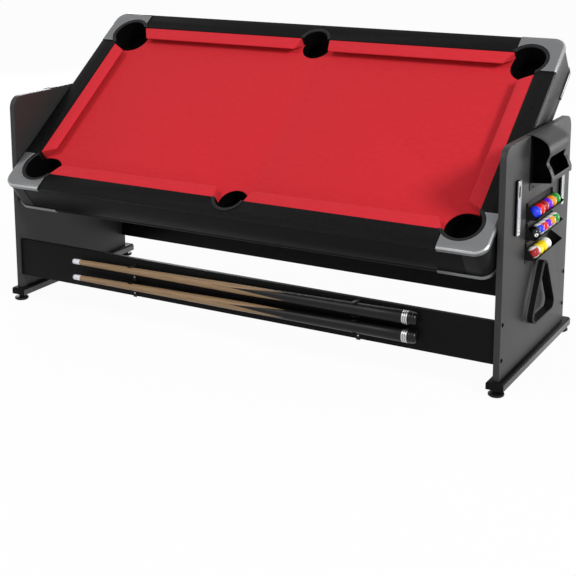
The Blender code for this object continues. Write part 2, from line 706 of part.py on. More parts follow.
def cue_clip(name, x):
    """A strip on the front stretcher with two open jaws, one for each cue."""
    radius = cue_radius(x) + CLIP_GAP
    centre = CUE_OUT - STRETCHER_FACE
    jaw = centre + radius * CLIP_JAW_SHARE
    low = STRETCHER_BOTTOM - CLIP_BELOW
    outline = [(GAP, low), (GAP + CLIP_WALL, low)]
    for rest in (LOWER_CUE_REST, UPPER_CUE_REST):
        height = rest + cue_radius(x)
        outline += [(GAP + CLIP_WALL, height - radius - CLIP_WALL), (jaw, height - radius - CLIP_WALL)]
        outline.append((jaw, height - radius))
        for step in range(2 * ARC_STEPS + 1):
            turn = -math.pi / 2 - math.pi * step / (2 * ARC_STEPS)
            outline.append((centre + radius * math.cos(turn), height + radius * math.sin(turn)))
        outline += [(jaw, height + radius), (jaw, height + radius + CLIP_WALL)]
        outline.append((GAP + CLIP_WALL, height + radius + CLIP_WALL))
    high = height + radius + CLIP_WALL + CLIP_TOP_MARGIN
    outline += [(GAP + CLIP_WALL, high), (GAP, high)]
    outline = [(-STRETCHER_FACE - out, z) for out, z in outline]
    return prism(name, "X", outline, x - CLIP_WIDTH / 2, x + CLIP_WIDTH / 2, "black_plastic")


# Pivot shafts and lock pins

def pivot_shaft(name, side, parent):
    """A steel stub shaft bolted to the table's end, with the nut that keeps it in its bush."""
    face = BODY_U + GAP
    nut = PANEL_FACE + BUSH_STAND_OUT + NUT_GAP
    profile = [
        (face, 0),
        (face, SHAFT_FLANGE_RADIUS),
        (face + SHAFT_FLANGE_THICKNESS, SHAFT_FLANGE_RADIUS),
        (face + SHAFT_FLANGE_THICKNESS, SHAFT_RADIUS),
        (nut, SHAFT_RADIUS),
        (nut, SHAFT_NUT_RADIUS),
        (nut + SHAFT_NUT_THICKNESS, SHAFT_NUT_RADIUS),
        (nut + SHAFT_NUT_THICKNESS, SHAFT_RADIUS),
        (nut + SHAFT_NUT_THICKNESS + SHAFT_END_LENGTH, SHAFT_RADIUS),
        (nut + SHAFT_NUT_THICKNESS + SHAFT_END_LENGTH, 0),
    ]
    return turned(name, "X", (0, 0), [(side * x, r) for x, r in profile], "zinc_steel", parent)


def lock_pin(name, side):
    """A pull pin with a knob, which holds the table level through the end panel."""
    tip = BODY_U + GAP - PANEL_FACE
    knob = LOCK_KNOB_STAND_OFF
    profile = [
        (tip, 0),
        (tip, LOCK_PIN_RADIUS),
        (knob, LOCK_PIN_RADIUS),
        (knob, LOCK_KNOB_RADIUS - LOCK_KNOB_EDGE),
        (knob + LOCK_KNOB_EDGE, LOCK_KNOB_RADIUS),
        (knob + LOCK_KNOB_LENGTH - LOCK_KNOB_EDGE, LOCK_KNOB_RADIUS),
        (knob + LOCK_KNOB_LENGTH, LOCK_KNOB_RADIUS - LOCK_KNOB_EDGE),
        (knob + LOCK_KNOB_LENGTH, 0),
    ]
    pin = turned(name, "X", (0, 0), [(side * x, r) for x, r in profile], "black_plastic", sides=SMALL_SIDES)
    pin.location = (side * PANEL_FACE, LOCK_REACH, PIVOT_HEIGHT)
    return pin


# Table body

POCKETS = {
    "front_left": (-1, -1), "front_middle": (0, -1), "front_right": (1, -1),
    "rear_left": (-1, 1), "rear_middle": (0, 1), "rear_right": (1, 1),
}


def pocket_place(a, b):
    """The pocket's centre, its outer radius and the radius of its rim."""
    if a:
        return (a * CORNER_POCKET_U, b * CORNER_POCKET_V), CORNER_POCKET_RADIUS, CORNER_RIM_RADIUS
    return (0, b * SIDE_POCKET_V), SIDE_POCKET_RADIUS, SIDE_RIM_RADIUS


def cut_pockets(target, low, high):
    for where, (a, b) in POCKETS.items():
        centre, radius, _ = pocket_place(a, b)
        cut_hole(target, f"{target.name}_{where}_hole", "Z", centre, radius + GAP, low, high)
    return target


def pocket_notch(a, b):
    """The cut for a pocket in the bed: round on the inside, and open to the board's edge."""
    (u, v), radius, _ = pocket_place(a, b)
    reach = radius + GAP
    inner, edge = v - b * reach, b * (BED_V + OVERRUN)
    sides = [
        (side * (BED_U + OVERRUN), 0) if side == a else (u + side * reach, reach - GAP / 2)
        for side in (-1, 1)
    ]
    (left, left_radius), (right, right_radius) = sides
    return rounded([
        (left, edge, 0), (left, inner, left_radius), (right, inner, right_radius), (right, edge, 0),
    ])


def pool_bed(name, parent):
    """The cloth-covered playing board, notched for six pockets."""
    low = POOL_BED_TOP - POOL_BED_THICKNESS
    bed = box(name, (-BED_U, -BED_V, low), (BED_U, BED_V, POOL_BED_TOP), "red_cloth", parent)
    for where, (a, b) in POCKETS.items():
        notch = f"{name}_{where}_notch"
        cut_outline(bed, notch, "Z", pocket_notch(a, b), low - OVERRUN, POOL_BED_TOP + OVERRUN)
    return bed


def pool_rail_frame(name, parent):
    """The flat rail tops, mitred and glued into one frame, with the blocks that back the cushions."""
    low = BODY_W - RAIL_PLATE
    outer = rounded_rectangle(BODY_U, BODY_V, BODY_CORNER_RADIUS)
    frame = prism(name, "Z", outer, low, BODY_W, "black_laminate", parent)
    blocks = rectangle(-POOL_RAIL_U - POOL_RAIL_BLOCK, -POOL_RAIL_V - POOL_RAIL_BLOCK,
                       POOL_RAIL_U + POOL_RAIL_BLOCK, POOL_RAIL_V + POOL_RAIL_BLOCK)
    floor = POOL_BED_TOP + GAP
    add_outline(frame, name + "_blocks", "Z", blocks, floor, low + RAIL_PLATE / 2, "black_laminate")
    inside = rectangle(-POOL_RAIL_U, -POOL_RAIL_V, POOL_RAIL_U, POOL_RAIL_V)
    cut_outline(frame, name + "_inside", "Z", inside, floor - OVERRUN, BODY_W + OVERRUN)
    return cut_pockets(frame, floor - OVERRUN, BODY_W + OVERRUN)


def cushion_section():
    """The section of a cushion, as (distance from the rail, height)."""
    top = BODY_W - CUSHION_TOP_DROP
    nose = POOL_BED_TOP + CUSHION_NOSE_HEIGHT
    foot = POOL_BED_TOP + CUSHION_FOOT_HEIGHT
    return [
        (GAP, foot),
        (GAP, top),
        (CUSHION_WIDTH - CUSHION_SLOPE, top - CUSHION_NOSE_FALL / 2),
        (CUSHION_WIDTH, nose + CUSHION_NOSE_LIP),
        (CUSHION_WIDTH, nose),
        (CUSHION_WIDTH - CUSHION_SLOPE, nose - CUSHION_NOSE_LIP),
        (CUSHION_SLOPE + GAP, foot),
    ]


def cushion(name, place, low, high, flares, parent):
    """A cushion between two places along its rail, with slanted ends at the pockets."""
    shape = bmesh.new()
    ends = []
    for start, flare in zip((low, high), flares):
        ring = [(start + flare * out / CUSHION_WIDTH, out, height) for out, height in cushion_section()]
        ends.append([shape.verts.new(place(*point)) for point in ring])
    shape.faces.new(ends[0])
    shape.faces.new(ends[1][::-1])
    for index in range(len(ends[0])):
        shape.faces.new((ends[0][index - 1], ends[0][index], ends[1][index], ends[1][index - 1]))
    return finish_object(name, shape, "red_cloth", parent)


def cushions(parent):
    for end, b in ENDS.items():
        def long_place(along_rail, out, height, b=b):
            return (along_rail, b * (POOL_RAIL_V - out), height)

        flares = (CUSHION_SIDE_FLARE, -CUSHION_CORNER_FLARE)
        cushion(f"{end}_right_cushion", long_place, CUSHION_SIDE_GAP, CUSHION_CORNER_U, flares, parent)
        flares = (CUSHION_CORNER_FLARE, -CUSHION_SIDE_FLARE)
        cushion(f"{end}_left_cushion", long_place, -CUSHION_CORNER_U, -CUSHION_SIDE_GAP, flares, parent)
    for side, a in SIDES.items():
        def short_place(along_rail, out, height, a=a):
            return (a * (POOL_RAIL_U - out), along_rail, height)

        flares = (CUSHION_CORNER_FLARE, -CUSHION_CORNER_FLARE)
        cushion(f"{side}_end_cushion", short_place, -CUSHION_CORNER_V, CUSHION_CORNER_V, flares, parent)


def pocket_liner(name, a, b, parent):
    """A moulded cup with a rim on the rail, cut down to the bed where the pocket opens."""
    centre, radius, rim = pocket_place(a, b)
    floor = POOL_BED_TOP - POCKET_DEPTH
    rim_low = BODY_W + GAP
    rim_top = rim_low + POCKET_RIM_HEIGHT
    liner = turned(name, "Z", centre, [
        (floor, 0),
        (floor, radius),
        (rim_low, radius),
        (rim_low, rim - GAP),
        (rim_top, rim - GAP),
        (rim_top, radius - POCKET_WALL),
        (floor + POCKET_WALL, radius - POCKET_WALL),
        (floor + POCKET_WALL, 0),
    ], "liner_plastic", parent)
    reach = 2 * rim
    edge_v = b * (POOL_RAIL_V - GAP)
    inner_v = b * (POOL_RAIL_V - reach)
    low_u, high_u = -reach, reach
    if a:
        low_u, high_u = sorted((a * (POOL_RAIL_U - GAP), a * (POOL_RAIL_U - reach)))
    mouth = rectangle(low_u, min(edge_v, inner_v), high_u, max(edge_v, inner_v))
    return cut_outline(liner, name + "_mouth", "Z", mouth, POOL_BED_TOP, rim_top + OVERRUN)


def casting_outline(a, b, leg_u, leg_v, inner_u, inner_v, inner_radius):
    """An L-shaped plate round one corner of the table."""
    far_u = BODY_U + CASTING_OUT_U
    far_v = BODY_V + CASTING_OUT_V
    return rounded([
        (a * far_u, b * far_v, BODY_CORNER_RADIUS + CASTING_OUT_V),
        (a * (far_u - leg_u), b * far_v, 0),
        (a * (far_u - leg_u), b * inner_v, 0),
        (a * inner_u, b * inner_v, inner_radius),
        (a * inner_u, b * (far_v - leg_v), 0),
        (a * far_u, b * (far_v - leg_v), 0),
    ])


def hollow_under(casting, face, skirt):
    """Leaves the casting's top plate and its skirt over the table's corner."""
    room = rounded_rectangle(BODY_U + GAP, BODY_V + GAP, BODY_CORNER_RADIUS + GAP)
    under = face - math.copysign(CASTING_THICKNESS, face)
    low, high = sorted((under, skirt - math.copysign(OVERRUN, face)))
    return cut_outline(casting, casting.name + "_room", "Z", room, low, high)


def pool_casting(name, a, b, parent):
    """A silver corner casting on the pool side, with a round cut-out for the pocket's rim."""
    face = BODY_W + CASTING_PROUD
    skirt = face - CASTING_SKIRT
    outline = casting_outline(a, b, CASTING_POOL_LEG_U, CASTING_POOL_LEG_V, POOL_RAIL_U, POOL_RAIL_V, 0)
    casting = prism(name, "Z", outline, skirt, face, "silver_casting", parent)
    hollow_under(casting, face, skirt)
    centre, _, rim = pocket_place(a, b)
    return cut_hole(casting, name + "_pocket", "Z", centre, rim + GAP, skirt - OVERRUN, face + OVERRUN)


def hockey_casting(name, a, b, parent):
    """A silver corner casting on the hockey side."""
    face = -BODY_W - CASTING_PROUD
    skirt = face + CASTING_SKIRT
    outline = casting_outline(
        a, b, CASTING_HOCKEY_LEG_U, CASTING_HOCKEY_LEG_V,
        HOCKEY_RAIL_U + CASTING_HOCKEY_INSET, HOCKEY_RAIL_V + CASTING_HOCKEY_INSET, CASTING_INNER_RADIUS)
    casting = prism(name, "Z", outline, face, skirt, "silver_casting", parent)
    return hollow_under(casting, face, skirt)


def hockey_playfield(name, parent):
    """The smooth white board of the hockey side."""
    return box(name, (-BED_U, -BED_V, HOCKEY_FIELD), (BED_U, BED_V, HOCKEY_FIELD + HOCKEY_BOARD_THICKNESS),
               "white_board", parent)


def hockey_rail_frame(name, parent):
    """The rail round the hockey field, with a goal slot in each end."""
    high = -BODY_W + RAIL_PLATE
    wall_top = HOCKEY_FIELD - GAP
    outer = rounded_rectangle(BODY_U, BODY_V, BODY_CORNER_RADIUS)
    frame = prism(name, "Z", outer, -BODY_W, high, "black_laminate", parent)
    end_block = GOAL_DEPTH + HOCKEY_RAIL_BLOCK
    blocks = rectangle(-HOCKEY_RAIL_U - end_block, -HOCKEY_RAIL_V - HOCKEY_RAIL_BLOCK,
                       HOCKEY_RAIL_U + end_block, HOCKEY_RAIL_V + HOCKEY_RAIL_BLOCK)
    add_outline(frame, name + "_blocks", "Z", blocks, high - RAIL_PLATE / 2, wall_top, "black_laminate")
    inside = rectangle(-HOCKEY_RAIL_U, -HOCKEY_RAIL_V, HOCKEY_RAIL_U, HOCKEY_RAIL_V)
    cut_outline(frame, name + "_inside", "Z", inside, -BODY_W - OVERRUN, wall_top + OVERRUN)
    for side, a in SIDES.items():
        near, far = sorted((a * (HOCKEY_RAIL_U - OVERRUN), a * (HOCKEY_RAIL_U + GOAL_DEPTH)))
        goal = rectangle(near, -GOAL_WIDTH / 2, far, GOAL_WIDTH / 2)
        cut_outline(frame, f"{side}_goal", "Z", goal, -BODY_W + GOAL_LINTEL, wall_top + OVERRUN)
    return frame


def long_apron(name, end, parent):
    """A long side board of the table body."""
    low, high = sorted((end * (BODY_V - BOARD_THICKNESS), end * BODY_V))
    half = BODY_U - END_CAP_LEG - GAP
    return box(name, (-half, low, -APRON_W), (half, high, APRON_W), "black_laminate", parent)


def vent_slots(apron):
    """The blower's air inlet through the rear apron."""
    for index in range(VENT_SLOT_COUNT):
        place = BLOWER_OFFSET + (index - (VENT_SLOT_COUNT - 1) / 2) * VENT_SLOT_PITCH
        half, tall = VENT_SLOT_WIDTH / 2, VENT_SLOT_HEIGHT / 2
        middle = blower_middle()
        slot = rectangle(place - half, middle - tall, place + half, middle + tall)
        low, high = BODY_V - BOARD_THICKNESS - OVERRUN, BODY_V + OVERRUN
        cut_outline(apron, f"vent_slot_{index}", "Y", slot, low, high)


def end_cap(name, side, parent):
    """An end board moulded in one with its two rounded corners."""
    inner_u = BODY_U - BOARD_THICKNESS
    inner_v = BODY_V - BOARD_THICKNESS
    leg = BODY_U - END_CAP_LEG
    outline = rounded([
        (side * BODY_U, BODY_V, BODY_CORNER_RADIUS),
        (side * leg, BODY_V, 0),
        (side * leg, inner_v, 0),
        (side * inner_u, inner_v, 0),
        (side * inner_u, -inner_v, 0),
        (side * leg, -inner_v, 0),
        (side * leg, -BODY_V, 0),
        (side * BODY_U, -BODY_V, BODY_CORNER_RADIUS),
    ])
    cap = prism(name, "Z", outline, -APRON_W, APRON_W, "black_laminate", parent)
    low, high = sorted((side * (inner_u - OVERRUN), side * (BODY_U + OVERRUN)))
    for end, b in ENDS.items():
        cut_hole(cap, f"{name}_{end}_lock_hole", "X", (b * LOCK_REACH, 0), LOCK_PIN_RADIUS + LOCK_HOLE_GAP,
                 low, high, SMALL_SIDES)
    return cap


def blower_middle():
    return HOCKEY_FIELD + HOCKEY_BOARD_THICKNESS + GAP + BLOWER_HEIGHT / 2


def hockey_blower(name, parent):
    """The fan in its scroll housing, which fills the space behind the hockey field with air."""
    rear = BODY_V - BOARD_THICKNESS - GAP
    near = rear - BLOWER_APRON_DISTANCE
    far = near - BLOWER_DEPTH
    left = BLOWER_OFFSET - BLOWER_LENGTH / 2
    right = BLOWER_OFFSET + BLOWER_LENGTH / 2
    middle = blower_middle()
    outline = rounded([
        (left, far, BLOWER_CORNER_RADIUS), (right, far, BLOWER_CORNER_RADIUS),
        (right, near, BLOWER_CORNER_RADIUS), (left, near, BLOWER_CORNER_RADIUS),
    ])
    blower = prism(name, "Z", outline, middle - BLOWER_HEIGHT / 2, middle + BLOWER_HEIGHT / 2,
                   "black_plastic", parent)
    width = BLOWER_SNOUT_WIDTH / 2
    height = BLOWER_SNOUT_HEIGHT / 2
    snout = rectangle(BLOWER_OFFSET - width, middle - height, BLOWER_OFFSET + width, middle + height)
    inner = near - BLOWER_APRON_DISTANCE
    return add_outline(blower, name + "_snout", "Y", snout, inner, rear, "black_plastic")


def build_stand():
    for side_name, side in SIDES.items():
        end_panel(side_name + "_end_panel", side)
        foot_rail(side_name + "_foot_rail", side)
        for end_name, place in foot_places(side).items():
            levelling_foot(f"{side_name}_{end_name}_foot", place)
        pivot_hood(side_name + "_pivot_hood", side)
        pivot_bush(side_name + "_pivot_bush", side)
        lock_pin(side_name + "_lock_pin", side)
    for end_name, end in ENDS.items():
        stretcher(end_name + "_stretcher", end)
        slotted_strip(end_name + "_slotted_strip", end * STRIP_OFFSET)


def build_accessories():
    for row, level in ROW_LEVELS.items():
        ball_tray(row + "_ball_tray", level)
        ball_row(row + "_ball_row", level, ROW_COUNTS[row])
    triangle_rack("triangle_rack")
    cue("upper_cue", UPPER_CUE_REST)
    cue("lower_cue", LOWER_CUE_REST)
    for name, x in CLIP_PLACES.items():
        cue_clip(name, x)


def build_table():
    pivot = bpy.data.objects.new("flip_pivot", None)
    bpy.context.scene.collection.objects.link(pivot)
    pivot.location = (0, 0, PIVOT_HEIGHT)
    pivot.rotation_euler = (REST_TILT, 0, 0)
    pool_bed("pool_bed", pivot)
    pool_rail_frame("pool_rail_frame", pivot)
    cushions(pivot)
    for where, (a, b) in POCKETS.items():
        pocket_liner(where + "_pocket", a, b, pivot)
        if a:
            pool_casting(where + "_pool_casting", a, b, pivot)
            hockey_casting(where + "_hockey_casting", a, b, pivot)
    hockey_playfield("hockey_playfield", pivot)
    hockey_rail_frame("hockey_rail_frame", pivot)
    for end_name, end in ENDS.items():
        apron = long_apron(end_name + "_apron", end, pivot)
        if end > 0:
            vent_slots(apron)
    for side_name, side in SIDES.items():
        end_cap(side_name + "_end_cap", side, pivot)
        pivot_shaft(side_name + "_pivot_shaft", side, pivot)
    hockey_blower("hockey_blower", pivot)


for old in list(bpy.data.objects):
    bpy.data.objects.remove(old, do_unlink=True)
build_stand()
build_accessories()
build_table()
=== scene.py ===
import math

import bmesh
import bpy
from mathutils import Matrix, Vector


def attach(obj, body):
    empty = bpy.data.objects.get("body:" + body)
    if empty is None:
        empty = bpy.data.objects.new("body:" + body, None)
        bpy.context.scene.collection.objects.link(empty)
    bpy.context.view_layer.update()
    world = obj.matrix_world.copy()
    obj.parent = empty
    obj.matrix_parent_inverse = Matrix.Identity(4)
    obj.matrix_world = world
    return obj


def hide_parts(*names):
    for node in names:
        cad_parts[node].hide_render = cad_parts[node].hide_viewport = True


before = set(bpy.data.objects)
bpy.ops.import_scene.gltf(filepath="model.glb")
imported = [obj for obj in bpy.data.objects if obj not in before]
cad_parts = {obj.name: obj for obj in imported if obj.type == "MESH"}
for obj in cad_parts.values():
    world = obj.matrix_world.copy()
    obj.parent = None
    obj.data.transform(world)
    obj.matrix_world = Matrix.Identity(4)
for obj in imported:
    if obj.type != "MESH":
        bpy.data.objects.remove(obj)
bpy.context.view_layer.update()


# The stand's boards: two end panels, a foot rail under each, and two stretchers between them.
# They are chipboard faced with melamine, charcoal on the panels and black elsewhere, with the
# edges banded in the same foil and rounded over by a trimmer.

def linear(hex_colour):
    """The linear colour of an sRGB hex value."""
    parts = [int(hex_colour[start:start + 2], 16) / 255 for start in (1, 3, 5)]
    return [c / 12.92 if c <= 0.04045 else ((c + 0.055) / 1.055) ** 2.4 for c in parts] + [1.0]


def add_node(tree, kind, inputs=None, **settings):
    """Adds a node; each input is a value, or a (node, output) pair that is linked to it."""
    node = tree.nodes.new(kind)
    for name, value in settings.items():
        setattr(node, name, value)
    for name, value in (inputs or {}).items():
        if isinstance(value, tuple) and isinstance(value[0], bpy.types.Node):
            tree.links.new(value[0].outputs[value[1]], node.inputs[name])
        else:
            node.inputs[name].default_value = value
    return node


def start_finish(name, colour, roughness, metallic=0.0, **sockets):
    """A Principled material whose uniform values sit on the shader's own sockets."""
    finish = bpy.data.materials.new(name)
    finish.use_nodes = True
    shader = finish.node_tree.nodes["Principled BSDF"]
    shader.inputs["Base Color"].default_value = linear(colour)
    shader.inputs["Roughness"].default_value = roughness
    shader.inputs["Metallic"].default_value = metallic
    for socket, value in sockets.items():
        shader.inputs[socket.replace("_", " ")].default_value = value
    finish.diffuse_color = linear(colour)
    return finish


def mottle(finish, cell, colours, gloss, height, where=None):
    """Noise with cells of the given size in metres varies the finish's colour, gloss and height."""
    tree = finish.node_tree
    shader = tree.nodes["Principled BSDF"]
    where = where or (add_node(tree, "ShaderNodeTexCoord"), "Object")
    spread = add_node(tree, "ShaderNodeMapping", {"Vector": where, "Scale": [1 / size for size in cell]})
    noise = add_node(tree, "ShaderNodeTexNoise", {"Vector": (spread, "Vector"), "Scale": 1.0, "Detail": 3.0})
    tint = add_node(tree, "ShaderNodeValToRGB", {"Fac": (noise, "Fac")})
    for element, place, colour in zip(tint.color_ramp.elements, (0.35, 0.65), colours):
        element.position = place
        element.color = linear(colour)
    tree.links.new(tint.outputs["Color"], shader.inputs["Base Color"])
    shine = add_node(tree, "ShaderNodeMapRange", {
        "Value": (noise, "Fac"), "From Min": 0.3, "From Max": 0.7, "To Min": gloss[0], "To Max": gloss[1]})
    tree.links.new(shine.outputs["Result"], shader.inputs["Roughness"])
    bump = add_node(tree, "ShaderNodeBump", {"Height": (noise, "Fac"), "Distance": height})
    tree.links.new(bump.outputs["Normal"], shader.inputs["Normal"])
    return tint, bump


def surfaced(name, colour, roughness, cell, colours, gloss, height, metallic=0.0, **sockets):
    """A finish whose colour, gloss and height vary over cells of one size, or of three sizes."""
    finish = start_finish(name, colour, roughness, metallic, **sockets)
    mottle(finish, cell if isinstance(cell, tuple) else (cell, cell, cell), colours, gloss, height)
    return finish


# Melamine foil on chipboard, pressed with a fine pearl grain: satin, with a soft even sheen.
# The pearls are 0.4 mm and are drawn at 1.5 mm so that they show.
charcoal_melamine = surfaced("charcoal_melamine", "#2F2F2F", 0.45, 0.0015, ("#2D2D2D", "#333333"),
                             (0.42, 0.50), 0.00004, Specular_IOR_Level=0.22)

# Black ash-grain foil, nearly matt: the grain runs along the board in faint lines 2 mm apart.
black_ash_foil = surfaced("black_ash_foil", "#101010", 0.42, (0.060, 0.002, 0.002), ("#0E0E0E", "#131313"),
                          (0.36, 0.50), 0.00008, Specular_IOR_Level=0.05)

# The same black foil on the long sides of the foot rails, with a grey base and a satin gloss: the
# grey is painted light, the lamps' shine on the sides.
side_foil_painted_light = surfaced("black_side_foil_painted_light", "#303030", 0.34, (0.002, 0.060, 0.002),
                           ("#2D2D2D", "#343434"), (0.30, 0.40), 0.00006, Specular_IOR_Level=0.5)


def shape_of(mesh):
    """A mesh opened for editing."""
    shape = bmesh.new()
    shape.from_mesh(mesh)
    return shape


def merged(node):
    """A copy of a CAD node's mesh with its loose triangles joined into whole faces."""
    shape = shape_of(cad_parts[node].data)
    bmesh.ops.remove_doubles(shape, verts=shape.verts, dist=2e-6)
    bmesh.ops.dissolve_limit(shape, angle_limit=math.radians(0.5), verts=shape.verts, edges=shape.edges)
    return shape


def round_over(shape, width, steps=2, chosen=None, least=25):
    """Rounds the sharp edges of a shape, or those of them that pass the chosen test."""
    edges = [
        edge for edge in shape.edges
        if len(edge.link_faces) == 2 and edge.calc_face_angle() > math.radians(least)
        and (chosen is None or chosen((edge.verts[0].co + edge.verts[1].co) / 2))
    ]
    bmesh.ops.bevel(shape, geom=edges, offset=width, offset_type="OFFSET", segments=steps,
                    profile=0.5, affect="EDGES", clamp_overlap=True)
    return shape


def mesh_of(shape, name):
    """An edited shape closed into a mesh."""
    mesh = bpy.data.meshes.new(name)
    shape.to_mesh(mesh)
    shape.free()
    return mesh


def placed(name, data):
    """A new object in the scene."""
    thing = bpy.data.objects.new(name, data)
    bpy.context.scene.collection.objects.link(thing)
    return thing


def make_piece(name, shape, finishes, body, stands_for=(), smooth=40):
    """Turns a closed shape into a piece that rides on its body and stands for its CAD nodes."""
    mesh = mesh_of(shape, name)
    piece = placed(name, mesh)
    for finish in finishes:
        mesh.materials.append(finish)
    mesh.shade_smooth()
    mesh.set_sharp_from_angle(angle=math.radians(smooth))
    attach(piece, body)
    if stands_for:
        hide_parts(*stands_for)
    return piece


def paint(shape, test=lambda face: True, number=1):
    """Gives the faces that pass the test the piece's second finish, or the one of that number."""
    for face in shape.faces:
        face.material_index = number if test(face) else 0
    return shape


def finish_node(node, shape, finishes, body, smooth=40):
    """The finished piece that stands for one CAD node."""
    make_piece(node + "_finished", shape, finishes, body, [node], smooth)


def dress(node, finish, body, width, steps=2):
    """A CAD node's own shape with its edges rounded over, in the finish of the real piece."""
    finish_node(node, round_over(merged(node), width, steps), [finish], body)


BOARD_EDGE, PANEL_EDGE = 0.0012, 0.0060

for side in ("left", "right"):
    dress(side + "_end_panel", charcoal_melamine, "stand", PANEL_EDGE, 5)
    rail = round_over(merged(side + "_foot_rail"), BOARD_EDGE)
    # The rail's long sides take the grey foil: painted light.
    paint(rail, lambda face: abs(face.normal.x) > 0.95)
    finish_node(side + "_foot_rail", rail, [black_ash_foil, side_foil_painted_light], "stand")
for end in ("front", "rear"):
    dress(end + "_stretcher", black_ash_foil, "stand", BOARD_EDGE)


# The levelling feet: a black steel disc with a hexagon to turn it by, on a zinc-plated stud that
# screws up into the foot rail. Each one rides on its own body.

FOOT_RADIUS = 0.0275
FOOT_DISC = 0.010
# How high the nut and the stud reach, and their radius.
FOOT_NUT = (0.0227, 0.0105)
FOOT_STUD = (0.041, 0.0049)
FOOT_X, FOOT_Y = {"left": -1.014, "right": 1.014}, {"front": -0.341, "rear": 0.366}

# Black coat on turned steel: near black and even, with a dull grey highlight on the rim.
black_coated_steel = surfaced("black_coated_steel", "#111111", 0.38, 0.0015, ("#0F0F0F", "#151515"),
                              (0.33, 0.44), 0.00004, Specular_IOR_Level=0.15)

# Bright zinc plate on steel: a pale grey metal with a soft blue-white shine.
zinc_plate = surfaced("zinc_plated_steel", "#C9CBCD", 0.28, 0.004, ("#BEC0C3", "#D2D4D6"),
                      (0.22, 0.34), 0.00002, 1.0)


def outward(shape):
    """Turns a closed shape's faces outwards."""
    bmesh.ops.recalc_face_normals(shape, faces=shape.faces)
    return shape


def turned(profile, sides=48):
    """A profile of (distance, radius) points turned about X, closed at both ends on the axis."""
    shape = bmesh.new()
    turns = [2 * math.pi * step / sides for step in range(sides)]
    rings = []
    for distance, radius in profile:
        around = turns if radius > 1e-7 else [0]
        places = [(distance, radius * math.cos(turn), radius * math.sin(turn)) for turn in around]
        rings.append([shape.verts.new(place) for place in places])
    for near, far in zip(rings, rings[1:]):
        for step in range(sides):
            steps = ((near, step), (near, step + 1), (far, step + 1), (far, step))
            corners = dict.fromkeys(ring[number % len(ring)] for ring, number in steps)
            if len(corners) > 2:
                shape.faces.new(list(corners))
    return outward(shape)


def moved(shape, place, upright=False):
    """Moves a turned shape to its place, stood upright first if its axis is to be Z."""
    matrix = Matrix.Translation(place)
    if upright:
        matrix = matrix @ Matrix.Rotation(-math.pi / 2, 4, "Y")
    shape.transform(matrix)
    return shape


def joined(*shapes, finishes=None):
    """Several closed shapes as one; a list of numbers gives each shape's material."""
    whole = bmesh.new()
    for index, shape in enumerate(shapes):
        if finishes:
            paint(shape, number=finishes[index])
        loose = mesh_of(shape, "loose")
        whole.from_mesh(loose)
        bpy.data.meshes.remove(loose)
    return whole


def foot_shapes():
    edge = 0.002
    disc = turned([
        (0, 0), (0, FOOT_RADIUS - 0.004), (0.0012, FOOT_RADIUS - 0.003), (0.0020, FOOT_RADIUS - edge),
        (0.0035, FOOT_RADIUS), (FOOT_DISC - edge, FOOT_RADIUS), (FOOT_DISC - 0.0006, FOOT_RADIUS - 0.0006),
        (FOOT_DISC, FOOT_RADIUS - edge), (FOOT_DISC + 0.0015, 0.013), (FOOT_DISC + 0.0015, 0),
    ])
    nut, stud = (
        turned([(FOOT_DISC, 0), (FOOT_DISC, radius), (top, radius), (top, 0)], sides)
        for (top, radius), sides in ((FOOT_NUT, 6), (FOOT_STUD, 24)))
    return disc, round_over(nut, 0.0006), stud


for side, x in FOOT_X.items():
    for end, y in FOOT_Y.items():
        name = f"{side}_{end}_foot"
        shape = moved(joined(*foot_shapes(), finishes=(0, 0, 1)), (x, y, 0), upright=True)
        finish_node(name, shape, [black_coated_steel, zinc_plate], name)


# The pivots: a steel stub shaft bolted to each end of the table, turning in a flanged nylon bush
# in the end panel, with a nut outside. A sprung pull pin beside each one locks the table level.

PIVOT_HEIGHT = 0.749
LOCK_REACH = 0.066
PANEL_FACE = 1.025

# Natural nylon, moulded: a waxy off-white with a soft sheen.
natural_nylon = surfaced("natural_nylon", "#D2CDBF", 0.45, 0.003, ("#CBC6B8", "#D8D3C6"),
                         (0.40, 0.50), 0.00002, Subsurface_Weight=0.1, Subsurface_Scale=0.003)

# Moulded nylon or ABS with a fine spark-eroded grain: near black, with a dull grey highlight.
moulded_black = surfaced("moulded_black_plastic", "#101011", 0.42, 0.0012, ("#0E0E0F", "#141415"),
                         (0.36, 0.48), 0.00005, Specular_IOR_Level=0.15)

# Black oxide on steel: dark, with a weak metal shine that changes a little from place to place.
black_oxide = surfaced("black_oxide_steel", "#1A1A1A", 0.35, 0.002, ("#171717", "#1D1D1D"),
                       (0.30, 0.40), 0.00001, 0.6)


def sided(shape, side):
    """Turns a shape that points along +X towards -X for the left side."""
    if side < 0:
        shape.transform(Matrix.Rotation(math.pi, 4, "Z"))
    return shape


